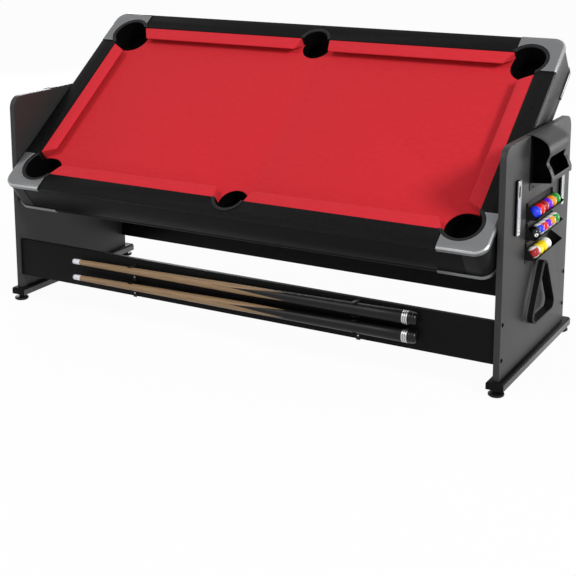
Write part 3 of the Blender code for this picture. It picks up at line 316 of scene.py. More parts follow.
for name, side in (("left", -1), ("right", 1)):
    shaft = turned([
        (0.9953, 0), (0.9953, 0.034), (0.9980, 0.034), (0.9983, 0.0337), (0.9983, 0.012),
        (1.0270, 0.012), (1.0270, 0.0119), (1.0381, 0.0119), (1.0386, 0.0114), (1.0386, 0),
    ])
    nut = round_over(turned([(1.0271, 0), (1.0271, 0.019), (1.0351, 0.019), (1.0351, 0)], 6), 0.0007)
    shape = moved(sided(joined(shaft, nut), side), (0, 0, PIVOT_HEIGHT))
    finish_node(name + "_pivot_shaft", shape, [black_oxide], "table")
    dress(name + "_pivot_bush", natural_nylon, "stand", 0.0004)
    pin = turned([
        (-0.0294, 0), (-0.0294, 0.0035), (-0.0284, 0.0045), (0.006, 0.0045), (0.006, 0.0098),
        (0.0068, 0.0112), (0.0090, 0.0130), (0.0120, 0.0126), (0.0150, 0.0122), (0.0180, 0.0126),
        (0.0200, 0.0130), (0.0215, 0.0118), (0.0220, 0.0100), (0.0220, 0),
    ])
    shape = moved(sided(pin, side), (side * PANEL_FACE, LOCK_REACH, PIVOT_HEIGHT))
    finish_node(name + "_lock_pin", shape, [moulded_black], name + "_lock_pin")


# The pivot hoods: steel sheet 2 mm thick, bent over the top of each end panel and out round the
# pivot in a long wave, with a window at its waist to reach the lock pin. The shade inside is painted:
# dead-flat black on the sheet's inner faces, a black plate on the panel behind the window, and a
# black plate across each open side, set back inside.

PANEL_TOP = 0.835
HOOD_HALF = 0.112
HOOD_SHEET = 0.002
HOOD_WAVE = [(0.0023, 0.0023), (0.019, -0.0025), (0.037, -0.0095), (0.056, -0.023), (0.0645, -0.038),
             (0.0665, -0.060), (0.0565, -0.090), (0.0675, -0.112), (0.0765, -0.135)]
HOOD_TOE, HOOD_BOTTOM, HOOD_FLANGE = (0.0765, -0.1525), -0.162, -0.190
HOOD_ENDS = (-0.066, 0.104)
HOOD_WINDOW = (0.083, 0.699, 0.761)

# Powder coat on steel: charcoal with a very fine orange peel, 2 mm across, and a satin gloss.
powder_coat = surfaced("charcoal_powder_coat", "#262626", 0.42, 0.002, ("#232323", "#292929"),
                       (0.38, 0.46), 0.00006, Specular_IOR_Level=0.18)

# The same coat in black, on the ball trays, and on the plate behind each hood's window as painted
# shade: near black, with a faint soft sheen.
black_powder_coat_and_painted_shade = surfaced("black_powder_coat_and_painted_shade", "#0C0C0C", 0.42, 0.002, ("#0A0A0A", "#0F0F0F"),
                             (0.34, 0.46), 0.00006, Specular_IOR_Level=0.08)

# Dead-flat black, as painted shade inside the hoods and on the plates across their open sides, so
# that the window reads as a hole, and in the strips' slots and spacers. Also the real black of the
# board and tray screws.
flat_black_and_painted_shade = surfaced("flat_black_paint_and_painted_shade", "#060606", 0.8, 0.003, ("#050505", "#080808"),
                      (0.75, 0.85), 0.00002, Specular_IOR_Level=0.03)


def skinned(rings, looped=False):
    """A solid skinned over rings of points, with its ends capped, or joined in a loop."""
    shape = bmesh.new()
    made = [[shape.verts.new(point) for point in ring] for ring in rings]
    if looped:
        pairs = [(ring, made[index - 1]) for index, ring in enumerate(made)]
    else:
        pairs = list(zip(made, made[1:]))
        shape.faces.new(made[0])
        shape.faces.new(made[-1])
    for near, far in pairs:
        for step in range(len(near)):
            shape.faces.new((near[step - 1], near[step], far[step], far[step - 1]))
    return outward(shape)


def prism(outline, low, high):
    """A flat outline in X and Y, extruded along Z."""
    return skinned([[(a, b, z) for a, b in outline] for z in (low, high)])


def slab(low_x, low_y, high_x, high_y, low, high):
    """A rectangle in X and Y, extruded along Z."""
    return prism([(low_x, low_y), (high_x, low_y), (high_x, high_y), (low_x, high_y)], low, high)


def arc(centre, radius, start, stop, steps):
    """Points on an arc between two angles in degrees."""
    turns = [math.radians(start + (stop - start) * step / steps) for step in range(steps + 1)]
    return [(centre[0] + radius * math.cos(t), centre[1] + radius * math.sin(t)) for t in turns]


def cut(shape, *cutters):
    """Cuts closed shapes out of a closed shape."""
    objects = [placed("cut", mesh_of(part, "cut")) for part in (shape, *cutters)]
    for cutter in objects[1:]:
        change = objects[0].modifiers.new("cut", "BOOLEAN")
        change.operation, change.solver, change.object = "DIFFERENCE", "EXACT", cutter
    graph = bpy.context.evaluated_depsgraph_get()
    result = bpy.data.meshes.new_from_object(objects[0].evaluated_get(graph))
    whole = shape_of(result)
    for part in objects:
        bpy.data.objects.remove(part)
    bpy.data.meshes.remove(result)
    bmesh.ops.remove_doubles(whole, verts=whole.verts, dist=1e-6)
    bmesh.ops.dissolve_limit(whole, angle_limit=math.radians(0.2), verts=whole.verts, edges=whole.edges)
    return whole


def smooth_line(points, steps):
    """A smooth curve through the points, as points a few millimetres apart."""
    line = []
    for index in range(len(points) - 1):
        a = Vector(points[max(index - 1, 0)])
        b, c = Vector(points[index]), Vector(points[index + 1])
        d = Vector(points[min(index + 2, len(points) - 1)])
        for step in range(steps):
            t = step / steps
            line.append(0.5 * (2 * b + (c - a) * t + (2 * a - 5 * b + 4 * c - d) * t ** 2
                               + (3 * b - a - 3 * c + d) * t ** 3))
    return line + [Vector(points[-1])]


def thicken(sheet, thickness):
    """Gives a flat or curved sheet its thickness, on the side away from its normals."""
    bmesh.ops.solidify(outward(sheet), geom=sheet.faces, thickness=thickness)
    return outward(sheet)


def hood_sheet(side):
    wave = smooth_line(HOOD_WAVE, 7)
    lip = [Vector((-0.018, 0.0023)), Vector((-0.008, 0.0023))]
    low = [Vector(HOOD_TOE), Vector((0.074, -0.1550)), Vector((0.071, -0.1560)),
           Vector((0.006, HOOD_BOTTOM)), Vector((0.0033, HOOD_BOTTOM - 0.001)),
           Vector((0.0023, HOOD_BOTTOM - 0.004)), Vector((0.0023, HOOD_FLANGE))]
    line = lip + wave + low
    half, window_low, window_high = HOOD_WINDOW
    across = [-HOOD_HALF, -half, -half / 3, half / 3, half, HOOD_HALF]
    sheet = bmesh.new()
    rows = [[sheet.verts.new((side * (PANEL_FACE + p.x), y, PANEL_TOP + p.y)) for y in across] for p in line]
    for upper, lower in zip(rows, rows[1:]):
        middle = (upper[0].co + lower[0].co) / 2
        open_here = window_low < middle.z < window_high and abs(middle.x) > PANEL_FACE + 0.035
        for step in range(len(across) - 1):
            if not (open_here and 0 < step < len(across) - 2):
                sheet.faces.new((upper[step], upper[step + 1], lower[step + 1], lower[step]))
    loose = [v for v in sheet.verts if not v.link_faces]
    bmesh.ops.delete(sheet, geom=loose, context="VERTS")
    return thicken(sheet, HOOD_SHEET)


def inside_of_hood(face, side):
    """Whether a face of the sheet looks inwards, at the pivot, or is the sheet's own cut edge: these take the
    painted shade.
    """
    place = face.calc_center_median()
    outwards = place - Vector((side * (PANEL_FACE + 0.030), 0, PANEL_TOP - 0.085))
    facing_in = face.normal.x * outwards.x + face.normal.z * outwards.z < 0
    return facing_in and place.z > PANEL_TOP + HOOD_BOTTOM + 0.001


def end_plate(side, y):
    """A dark plate across the hood's open side, a few millimetres inside the bent sheet: painted shade."""
    wave = [Vector((0.0018, -0.085)).lerp(point, 0.96) for point in smooth_line(HOOD_WAVE, 7)]
    plate = prism([*wave, (0.0740, -0.1500), (0.0705, -0.1535), (0.0060, -0.1597), (0.0018, -0.1597),
                   (0.0018, -0.002)], y, y + 0.0012)
    plate.transform(Matrix((
        (side, 0, 0, side * PANEL_FACE), (0, 0, 1, 0), (0, 1, 0, PANEL_TOP), (0, 0, 0, 1))))
    return outward(plate)


def backing_plate(side):
    """The black plate behind the window, as painted shade, with holes for the shaft's nut and the lock pin.
    """
    plate = slab(PANEL_TOP - 0.160, -0.1115, PANEL_TOP - 0.002, 0.1115, 0.0003, 0.0015)
    holes = [prism(arc((PIVOT_HEIGHT, y), radius, 0, 345, 23), -0.01, 0.01)
             for y, radius in ((0, 0.024), (LOCK_REACH, 0.006))]
    plate = cut(plate, *holes)
    plate.transform(Matrix(((0, 0, side, side * PANEL_FACE), (0, 1, 0, 0), (1, 0, 0, 0), (0, 0, 0, 1))))
    return outward(plate)


for name, side in (("left", -1), ("right", 1)):
    # The sheet's inner faces and the end plates are dead-flat black, and the backing plate black: painted
    # shade inside the hood.
    sheet = paint(round_over(hood_sheet(side), 0.0005, 2, least=60), lambda face: inside_of_hood(face, side))
    plates = joined(backing_plate(side), *(end_plate(side, y) for y in HOOD_ENDS), finishes=(2, 1, 1))
    finish_node(name + "_pivot_hood", joined(sheet, plates), [powder_coat, flat_black_and_painted_shade, black_powder_coat_and_painted_shade],
                "stand")


# The slotted strips on the right end panel: zinc-plated steel channels on a spacer, each with
# rolled edges, one long slot near the top, and a screw at each end. The spacer and the inside of
# the slot are dead-flat black: painted shade, in the gap under each strip and in its slot.

STRIP_BOTTOM, STRIP_HEIGHT, STRIP_WIDTH, STRIP_DEPTH = 0.5235, 0.1855, 0.029, 0.012
STRIP_RIM, STRIP_RECESS, STRIP_CORNER = 0.0045, 0.002, 0.004
SLOT_LOW, SLOT_HIGH, SLOT_HALF = 0.6525, 0.6905, 0.0092
STRIP_BASE, STRIP_Y = 0.0066, 0.240
PANEL_GAP = 0.0003

# Brushed zinc plate: the brush marks run up the strip, 0.8 mm apart.
brushed_zinc = surfaced("brushed_zinc_plate", "#C4C5C8", 0.22, (0.0008, 0.0008, 0.030),
                        ("#BDBEC2", "#CBCCCE"), (0.23, 0.30), 0.000004, 1.0)


def upright_on_panel(shape, y, z):
    """Stands a shape drawn flat (X across, Y up, Z out) on the right end panel's outer face."""
    out_of_panel = Matrix(((0, 0, 1, PANEL_FACE + PANEL_GAP), (1, 0, 0, y), (0, 1, 0, z), (0, 0, 0, 1)))
    shape.transform(out_of_panel)
    return shape


def rounded_box(half_x, half_y, corner, grow, steps, middle_y=0.0):
    """The outline of a box with round corners, grown all round by a little."""
    outline = []
    for a, b, start in ((1, 1, 0), (-1, 1, 90), (-1, -1, 180), (1, -1, 270)):
        centre = (a * (half_x - corner), middle_y + b * (half_y - corner))
        outline += arc(centre, corner + grow, start, start + 90, steps)
    return outline


def slotted_strip():
    half, middle = STRIP_WIDTH / 2, STRIP_HEIGHT / 2
    inner = half - STRIP_RIM
    body, spacer = (
        prism(rounded_box(half, middle, STRIP_CORNER, grow, 5, middle), low, high)
        for grow, low, high in ((0, STRIP_BASE, STRIP_DEPTH), (-0.0003, 0, STRIP_BASE)))
    trough = slab(-inner, STRIP_CORNER, inner, STRIP_HEIGHT - STRIP_CORNER, STRIP_DEPTH - STRIP_RECESS,
                  STRIP_DEPTH + 0.01)
    low, high = SLOT_LOW - STRIP_BOTTOM + SLOT_HALF, SLOT_HIGH - STRIP_BOTTOM - SLOT_HALF
    slot = prism(arc((0, high), SLOT_HALF, 0, 180, 12) + arc((0, low), SLOT_HALF, 180, 360, 12), -0.01, 0.03)

    def in_slot(face):
        place = face.calc_center_median()
        return (abs(place.x) < SLOT_HALF + 0.0003 and low - SLOT_HALF < place.y < high + SLOT_HALF
                and place.z < STRIP_DEPTH - STRIP_RECESS - 0.0004)

    # The slot's inner walls take the flat black, and the spacer is all flat black: painted shade.
    strip = paint(round_over(cut(body, trough, slot), 0.0009, 3), in_slot)
    return joined(strip, paint(spacer))


for name, y in (("front", -STRIP_Y), ("rear", STRIP_Y)):
    shape = upright_on_panel(slotted_strip(), y, STRIP_BOTTOM)
    finish_node(name + "_slotted_strip", shape, [brushed_zinc, flat_black_and_painted_shade], "stand")


# The cue clips: strips of moulded plastic screwed to the front stretcher, each with two open jaws
# that the cues lie in.

for name in ("left_cue_clip", "right_cue_clip"):
    dress(name, moulded_black, "stand", 0.0007)


# The cues: maple shafts with a leather tip in a white ferrule, four dark points spliced into the
# wood at the middle, a near-black butt, a ring of three bright bands and a rubber bumper.

CUE_Y = -0.3719
CUE_TIP_END, CUE_LENGTH = -0.715, 1.460
CUE_RESTS = {"upper_cue": 0.202, "lower_cue": 0.138}
TIP_RADIUS, BUTT_RADIUS = 0.010, 0.0245
TIP_LENGTH, FERRULE_END = 0.007, 0.036
# The spliced points: where they start and end along the cue, their number, and how far they are
# turned round the cue, as a share of their own width.
SPLICE, POINTS, SPLICE_TURN = (0.005, 0.240), 4, 0.22
RING, RING_BAND = (0.692, 0.712), 0.0056
BUMPER_LENGTH, BUMPER_RADIUS = 0.030, 0.0235

# Leather rubbed with blue chalk: a dull grey-blue, quite matt.
chalked_leather = surfaced("chalked_leather", "#A9AEBD", 0.8, 0.001, ("#9AA0B2", "#B6BAC6"),
                           (0.75, 0.9), 0.0001)
# Vulcanised fibre, turned and polished: a cool white with a soft gloss.
fibre_ferrule = surfaced("white_fibre", "#DEDEE6", 0.3, (0.004, 0.002, 0.002), ("#D6D6DF", "#E6E6EC"),
                         (0.25, 0.35), 0.00001, Coat_Weight=0.2, Coat_Roughness=0.2)
# Nickel plate on brass: narrow grey bands that catch the light.
bright_band = surfaced("nickel_plated_brass", "#B9B9BB", 0.3, 0.002, ("#B2B2B5", "#C0C0C2"),
                       (0.26, 0.34), 0.00001, 1.0)
# Moulded rubber, a little worn: near black, with one small soft highlight.
bumper_rubber = surfaced("bumper_rubber", "#0B0B0B", 0.24, 0.0015, ("#090909", "#0D0D0D"),
                         (0.22, 0.26), 0.000005, Specular_IOR_Level=0.25)


def cue_wood():
    """Varnished maple with long grain, and dark stain behind four points round the cue. It is read
    from the cue's own axes, so that the points follow the cue however it lies."""
    wood = start_finish("varnished_maple", "#8A7053", 0.42, Coat_Weight=0.08, Coat_Roughness=0.3,
                        Specular_IOR_Level=0.2)
    tree = wood.node_tree
    place = add_node(tree, "ShaderNodeAttribute", attribute_name="cue_axes")
    tint, _ = mottle(wood, (0.090, 0.003, 0.003), ("#7F674C", "#967A5B"), (0.38, 0.48), 0.00003,
                     (place, "Vector"))
    parts = add_node(tree, "ShaderNodeSeparateXYZ", {"Vector": (place, "Vector")})
    angle = add_node(tree, "ShaderNodeMath", {0: (parts, "Z"), 1: (parts, "Y")}, operation="ARCTAN2")
    turns = add_node(tree, "ShaderNodeMath", {0: (angle, 0), 1: POINTS / (2 * math.pi), 2: SPLICE_TURN},
                     operation="MULTIPLY_ADD")
    zigzag = add_node(tree, "ShaderNodeMath", {0: (turns, 0), 1: 0.5}, operation="PINGPONG")
    start = add_node(tree, "ShaderNodeMapRange", {
        "Value": (zigzag, 0), "From Min": 0.0, "From Max": 0.5, "To Min": SPLICE[0], "To Max": SPLICE[1]})
    past = add_node(tree, "ShaderNodeMath", {0: (parts, "X"), 1: (start, "Result")}, operation="SUBTRACT")
    dark = add_node(tree, "ShaderNodeMapRange", {
        "Value": (past, 0), "From Min": -0.002, "From Max": 0.002, "To Min": 0.0, "To Max": 1.0})
    blend = add_node(tree, "ShaderNodeMix", {0: (dark, "Result"), 6: (tint, "Color"), 7: linear("#070606")},
                     data_type="RGBA")
    tree.links.new(blend.outputs[2], tree.nodes["Principled BSDF"].inputs["Base Color"])
    return wood


def mark_axes(shape, name, reading=Vector.copy):
    """Keeps each point's place on the piece itself, from before it is laid down, for its finish."""
    axes = shape.verts.layers.float_vector.new(name)
    for vert in shape.verts:
        vert[axes] = reading(vert.co)
    return shape


def cue_shape():
    """The cue along X, as closed rings and rods that meet end to end, each in its own finish."""
    def radius(x):
        return TIP_RADIUS + (BUTT_RADIUS - TIP_RADIUS) * (x - CUE_TIP_END) / CUE_LENGTH

    def skin(x, inset=0.0):
        return x, radius(x) - inset

    tip, end = CUE_TIP_END, CUE_TIP_END + CUE_LENGTH
    leather, ferrule, bumper = tip + TIP_LENGTH, tip + FERRULE_END, end - BUMPER_LENGTH
    ring_start, ring_end = RING
    bands = (ring_start, (ring_start + ring_end - RING_BAND) / 2, ring_end - RING_BAND)
    bumper_profile = ((0, 0.0008), (0.003, 0), (0.009, 0), (0.0115, 0.0016), (0.0140, 0.0004),
                      (0.019, 0.0012), (0.024, 0.0038), (0.0275, 0.0080), (BUMPER_LENGTH - 0.0006, 0.0130))
    rods = [
        (0, [(tip, 0.006), (tip + 0.001, 0.0082), (tip + 0.003, 0.0098), (leather, 0.0100)]),
        (1, [(leather, 0.0099), skin(leather + 0.001), skin(ferrule)]),
        (2, [skin(ferrule, 0.0002), *(skin(x / 100) for x in range(-67, 68, 8)),
             (ring_start - 0.001, radius(ring_start)), skin(ring_start, 0.0004)]),
        (2, [skin(ring_start, 0.0008), skin(ring_end, 0.0008)]),
        (2, [skin(ring_end, 0.0003), skin(ring_end + 0.001), skin(bumper - 0.001), skin(bumper, 0.0004)]),
        (4, [*((bumper + x, BUMPER_RADIUS - inset) for x, inset in bumper_profile), (end, 0.006)]),
    ]
    zones = [(finish, [(line[0][0], 0), *line, (line[-1][0], 0)]) for finish, line in rods]
    zones[4:4] = [(3, [(x, radius(x) - 0.002), (x, radius(x) - 0.0002), (x + 0.0003, radius(x)),
                       (x + RING_BAND - 0.0003, radius(x)), (x + RING_BAND, radius(x) - 0.0002),
                       (x + RING_BAND, radius(x) - 0.002), (x, radius(x) - 0.002)]) for x in bands]
    whole = joined(*(turned(profile) for _, profile in zones), finishes=[finish for finish, _ in zones])
    return mark_axes(whole, "cue_axes")


cue_finishes = [chalked_leather, fibre_ferrule, cue_wood(), bright_band, bumper_rubber]
taper = math.atan((BUTT_RADIUS - TIP_RADIUS) / CUE_LENGTH)

for name, rest in CUE_RESTS.items():
    shape = moved(cue_shape(), (-CUE_TIP_END, 0, 0))
    shape.transform(Matrix.Rotation(-taper, 4, "Y"))
    moved(shape, (CUE_TIP_END, CUE_Y, rest + TIP_RADIUS))
    finish_node(name, shape, cue_finishes, name, smooth=50)


# The ball trays: sheet steel folded into open troughs, spot-welded into one stack with a back
# plate, and powder-coated black. The rack hangs on a peg under the lowest one.

for name in ("top", "middle", "bottom"):
    dress(name + "_ball_tray", black_powder_coat_and_painted_shade, "stand", 0.00045, 1)


# The balls: cast phenolic resin, polished, with the colour, band and number disc cast right
# through. Each lies in its tray with its own turn, so that bands and numbers show at random.

BALL_RADIUS = 0.02132
BALL_OUT = 1.0486
BALL_FIRST, BALL_PITCH = -0.1108, 0.042656
ROWS = {"top_ball_row": (0.5749, (2, 3, 7, 4, 5, 6)),
        "middle_ball_row": (0.5049, (8, 10, 11, 12, 13, 14)),
        "bottom_ball_row": (0.4349, (15, 9, 1, 0))}
BALL_COLOURS = ("#F6F4EE", "#FFDC14", "#2038F0", "#F01818", "#7420DC", "#FF9C1E", "#1E9A32", "#A82024",
                "#080808")
# The band's edge and the disc's edge, as shares of the radius along the ball's own Z and X.
BAND_HALF, DISC_COSINE = 0.60, 0.945
NUMBER_SIZE, INK = 0.0095, 0.00006
HAZE_PATCHES_PER_METRE = 150.0
# The turn of each ball about X, Y and Z, in degrees.
BALL_TURNS = {2: (0, 0, 12), 3: (0, 29, 0), 7: (40, 10, 90), 4: (100, -6, 90), 5: (200, 5, 90),
              6: (300, 8, 90), 8: (20, 12, -50), 10: (-28, 2, 90), 11: (-25, -2, 84), 12: (-30, 4, 95),
              13: (-26, 0, 86), 14: (-20, 6, 92), 15: (-10, -26, 30), 9: (90, 45, 0), 1: (150, 4, 90),
              0: (0, 0, 0)}


def resin():
    """Polished phenolic resin, read from the ball's own axes: clear gloss over even colour, with a
    faint haze in the gloss."""
    finish = start_finish("phenolic_resin", "#F6F4EE", 0.10, Specular_IOR_Level=0.25, Coat_Weight=0.2,
                          Coat_Roughness=0.04)
    tree = finish.node_tree
    shader = tree.nodes["Principled BSDF"]
    axes, colour, banded = (
        add_node(tree, "ShaderNodeAttribute", attribute_name=name)
        for name in ("ball_axes", "ball_colour", "ball_banded"))
    parts = add_node(tree, "ShaderNodeSeparateXYZ", {"Vector": (axes, "Vector")})
    cap, disc = (
        add_node(tree, "ShaderNodeMapRange", {
            "Value": (add_node(tree, "ShaderNodeMath", {0: (parts, axis)}, operation="ABSOLUTE"), 0),
            "From Min": edge - soft, "From Max": edge + soft})
        for axis, edge, soft in (("Z", BAND_HALF, 0.01), ("X", DISC_COSINE, 0.004)))
    white_cap = add_node(tree, "ShaderNodeMath", {0: (cap, "Result"), 1: (banded, "Fac")},
                         operation="MULTIPLY")
    white = add_node(tree, "ShaderNodeMath", {0: (white_cap, 0), 1: (disc, "Result")}, operation="MAXIMUM")
    blend = add_node(tree, "ShaderNodeMix", {0: (white, 0), 6: (colour, "Color"), 7: linear("#F6F4EE")},
                     data_type="RGBA")
    tree.links.new(blend.outputs[2], shader.inputs["Base Color"])
    place = add_node(tree, "ShaderNodeTexCoord")
    haze = add_node(tree, "ShaderNodeTexNoise", {
        "Vector": (place, "Object"), "Scale": HAZE_PATCHES_PER_METRE})
    gloss = add_node(tree, "ShaderNodeMapRange", {"Value": (haze, "Fac"), "To Min": 0.05, "To Max": 0.14})
    tree.links.new(gloss.outputs["Result"], shader.inputs["Roughness"])
    return finish


phenolic_resin = resin()
# Black ink under the gloss, for the numbers: even and dark, with the resin's own shine.
number_ink = surfaced("number_ink", "#0B0B0B", 0.12, 0.001, ("#0A0A0A", "#0C0C0C"), (0.11, 0.13), 0.000001,
                      Specular_IOR_Level=0.2, Coat_Weight=0.12)


def numeral(number):
    """The ball's number as a thin skin on the sphere, at both ends of the ball's own X axis."""
    curve = bpy.data.curves.new("numeral", "FONT")
    curve.body, curve.size = str(number), NUMBER_SIZE
    curve.align_x, curve.align_y = "CENTER", "CENTER"
    text = placed("numeral", curve)
    graph = bpy.context.evaluated_depsgraph_get()
    flat = bpy.data.meshes.new_from_object(text.evaluated_get(graph))
    bpy.data.objects.remove(text)
    sides = []
    for end in (1, -1):
        side = shape_of(flat)
        bmesh.ops.triangulate(side, faces=side.faces)
        long_edges = [edge for edge in side.edges if edge.calc_length() > 0.0012]
        bmesh.ops.subdivide_edges(side, edges=long_edges, cuts=2)
        bmesh.ops.triangulate(side, faces=side.faces)
        for vert in side.verts:
            across, up = vert.co.x, vert.co.y
            direction = Vector((end * BALL_RADIUS, end * across, up)).normalized()
            vert.co = direction * (BALL_RADIUS + INK)
        sides.append(side)
    bpy.data.meshes.remove(flat)
    return joined(*sides)


def ball_shape(number):
    ball = bmesh.new()
    bmesh.ops.create_icosphere(ball, subdivisions=5, radius=BALL_RADIUS)
    shapes = [ball] + ([numeral(number)] if number else [])
    return mark_axes(joined(*shapes, finishes=(0, 1)), "ball_axes", Vector.normalized)


def lay_ball(number, row, place):
    shape = ball_shape(number)
    x, y, z = (math.radians(turn) for turn in BALL_TURNS[number])
    spin = Matrix.Rotation(z, 4, "Z") @ Matrix.Rotation(y, 4, "Y") @ Matrix.Rotation(x, 4, "X")
    shape.transform(Matrix.Translation(place) @ spin)
    name = f"ball_{number}" if number else "cue_ball"
    ball = make_piece(name, shape, [phenolic_resin, number_ink], row, [row])
    colour = linear(BALL_COLOURS[number if number < 9 else number - 8])
    count = len(ball.data.vertices)
    for name, kind, field, values in (("ball_colour", "FLOAT_COLOR", "color", colour),
                                      ("ball_banded", "FLOAT", "value", [float(number > 8)])):
        ball.data.attributes.new(name, kind, "POINT").data.foreach_set(field, values * count)


for row, (height, numbers) in ROWS.items():
    for index, number in enumerate(numbers):
        lay_ball(number, row, (BALL_OUT, BALL_FIRST + index * BALL_PITCH, height))


# The triangle rack: one moulded plastic frame with round corners, hung by its apex on the peg.
# Its outside is ribbed: a raised rim along each edge and a recess between them.

RACK_LOW, RACK_RADIUS, RACK_MIDDLE = 1.031, 0.022, (-0.010, 0.2566)
RACK_CORNERS = ((-0.010, 0.3559, 30), (-0.0960, 0.20694, 150), (0.0760, 0.20694, 270))
# The section of the wall: how far out from the panel, and how far outside the room for the balls.
RACK_SECTION = ((0.0000, 0.0052), (0.0008, 0.0060), (0.0082, 0.0060), (0.0092, 0.0046), (0.0264, 0.0046),
                (0.0274, 0.0060), (0.0312, 0.0060), (0.0320, 0.0052), (0.0320, 0.0006), (0.0314, 0.0000),
                (0.0006, 0.0000), (0.0000, 0.0006))
# How far out from the panel the recess between the two rims starts and ends.
RACK_RECESS = (0.0086, 0.0270)

# The rims are the same black plastic, given a grey base with a soft shine: a painted highlight, the
# light that the rims catch.
rim_painted_highlight = surfaced("rack_rim_painted_highlight", "#545455", 0.3, 0.003, ("#4F4F50", "#5A5A5B"),
                    (0.26, 0.36), 0.00002)


rack_rings = []
for out, grow in RACK_SECTION:
    ring = []
    for y, z, start in RACK_CORNERS:
        ring += arc((y, z), RACK_RADIUS + grow, start, start + 120, 16)
    rack_rings.append([(RACK_LOW + out, y, z) for y, z in ring])


def on_rim(face):
    """Whether a face is on the outside of one of the two rims, which take the painted highlight."""
    place = face.calc_center_median()
    facing_out = (place.yz - Vector(RACK_MIDDLE)).dot(face.normal.yz) > 0 and abs(face.normal.x) < 0.5
    return facing_out and not RACK_RECESS[0] <= place.x - RACK_LOW <= RACK_RECESS[1]


rack = paint(skinned(rack_rings, looped=True), on_rim)
finish_node("triangle_rack", rack, [moulded_black, rim_painted_highlight], "triangle_rack")


# The table body's sides: two long aprons and two end caps, each cap moulded in one with its two
# round corners. The body is laid out level about its pivot, and TABLE_PLACE tilts it.

TILT = math.radians(37.2)
TABLE_PLACE = Matrix.Translation((0, 0, PIVOT_HEIGHT)) @ Matrix.Rotation(TILT, 4, "X")
BODY_U, BODY_V = 0.995, 0.495
BODY_CORNER = 0.046
APRON_W = 0.0562
CAP_LEG, CAP_WALL = 0.087, 0.018
# The holes for the lock pins: where each starts and ends, and its radius.
LOCK_HOLE_ENDS, LOCK_HOLE_RADIUS = (0.96, 1.01), 0.0051


def tilted(shape):
    shape.transform(TABLE_PLACE)
    return shape


def end_cap(side):
    far, leg, inner = BODY_U, BODY_U - CAP_LEG, BODY_U - CAP_WALL
    outline = arc((far - BODY_CORNER, BODY_V - BODY_CORNER), BODY_CORNER, 0, 90, 20)
    outline += [(leg, BODY_V), (leg, BODY_V - CAP_WALL), (inner, BODY_V - CAP_WALL),
                (inner, CAP_WALL - BODY_V), (leg, CAP_WALL - BODY_V), (leg, -BODY_V)]
    outline += arc((far - BODY_CORNER, BODY_CORNER - BODY_V), BODY_CORNER, 270, 360, 20)
    low, high = LOCK_HOLE_ENDS
    bore = [(low, 0), (low, LOCK_HOLE_RADIUS), (high, LOCK_HOLE_RADIUS), (high, 0)]
    holes = [moved(turned(bore, 24), (0, y, 0)) for y in (-LOCK_REACH, LOCK_REACH)]
    shape = sided(cut(prism(outline, -APRON_W, APRON_W), *holes), side)
    return tilted(round_over(shape, 0.0012, 2))


# Black textured ABS on the end caps: a soft leather grain, 1.5 mm across, and a wide dull highlight.
grained_abs = surfaced("grained_black_abs", "#101010", 0.42, 0.0015, ("#0E0E0E", "#131313"),
                       (0.36, 0.46), 0.00007, Specular_IOR_Level=0.12)

for end in ("front", "rear"):
    dress(end + "_apron", black_ash_foil, "table", BOARD_EDGE)
for name, side in (("left", -1), ("right", 1)):
    finish_node(name + "_end_cap", end_cap(side), [grained_abs], "table")


# The pool bed: a board with red cloth glued over it, notched at its edge for the six pockets, with
# the cloth wrapped down into each notch.

BED_U, BED_V, BED_TOP, BED_THICKNESS = 0.9767, 0.4767, 0.030, 0.012
# A line past the board's edges, and the strip along them that isn't rounded over.
PAST_U, PAST_V, SHARP_STRIP = 1.1, 0.6, 0.0067
CORNER_POCKET, CORNER_HOLE = (0.880, 0.381), 0.0693
SIDE_POCKET, SIDE_HOLE = (0.0, 0.405), 0.0583
POCKETS = {
    "front_left": (-1, -1), "front_middle": (0, -1), "front_right": (1, -1),
    "rear_left": (-1, 1), "rear_middle": (0, 1), "rear_right": (1, 1),
}

# The threads as drawn, and the part of a turn that a wave texture's scale stands for.
THREAD, WAVE_TURN = 0.0016, math.pi / 10


def billiard_cloth(name, colour, light, dark):
    """Woven wool and nylon, napped and sheared: a deep even red with a soft sheen at low angles.
    The threads are 0.5 mm apart and are drawn at 1.6 mm; the nap lies in faint patches 25 mm long."""
    cloth = start_finish(name, colour, 0.9, Sheen_Weight=0.18, Sheen_Roughness=0.45,
                         Sheen_Tint=linear("#FF9A9A"), Specular_IOR_Level=0.15)
    tree = cloth.node_tree
    place = add_node(tree, "ShaderNodeTexCoord")
    level = add_node(tree, "ShaderNodeMapping", {"Vector": (place, "Object"), "Rotation": (-TILT, 0, 0)})
    mottle(cloth, (0.025, 0.009, 0.009), (dark, light), (0.86, 0.94), 0.0, (level, "Vector"))
    warp, weft = (
        add_node(tree, "ShaderNodeTexWave", {
            "Vector": (level, "Vector"), "Scale": WAVE_TURN / THREAD, "Distortion": 0.6, "Detail": 1.0,
            "Detail Scale": 3.0}, wave_type="BANDS", bands_direction=direction) for direction in ("X", "Y"))
    weave = add_node(tree, "ShaderNodeMath", {0: (warp, "Fac"), 1: (weft, "Fac")}, operation="MULTIPLY")
    bump = add_node(tree, "ShaderNodeBump", {"Height": (weave, 0), "Strength": 0.5, "Distance": 0.0001})
    tree.links.new(bump.outputs["Normal"], tree.nodes["Principled BSDF"].inputs["Normal"])
    return cloth


red_cloth = billiard_cloth("red_billiard_cloth", "#C82730", "#CA2932", "#C6252E")
# The same cloth on the cushions, a little lighter than on the bed: painted light, the cushions
# catching more light than the bed.
cushion_cloth_painted_light = billiard_cloth("cushion_red_cloth_painted_light", "#CA2A34", "#CC2C36", "#C82832")


def pocket_place(a, b):
    return (a * CORNER_POCKET[0], b * CORNER_POCKET[1]) if a else (0, b * SIDE_POCKET[1])


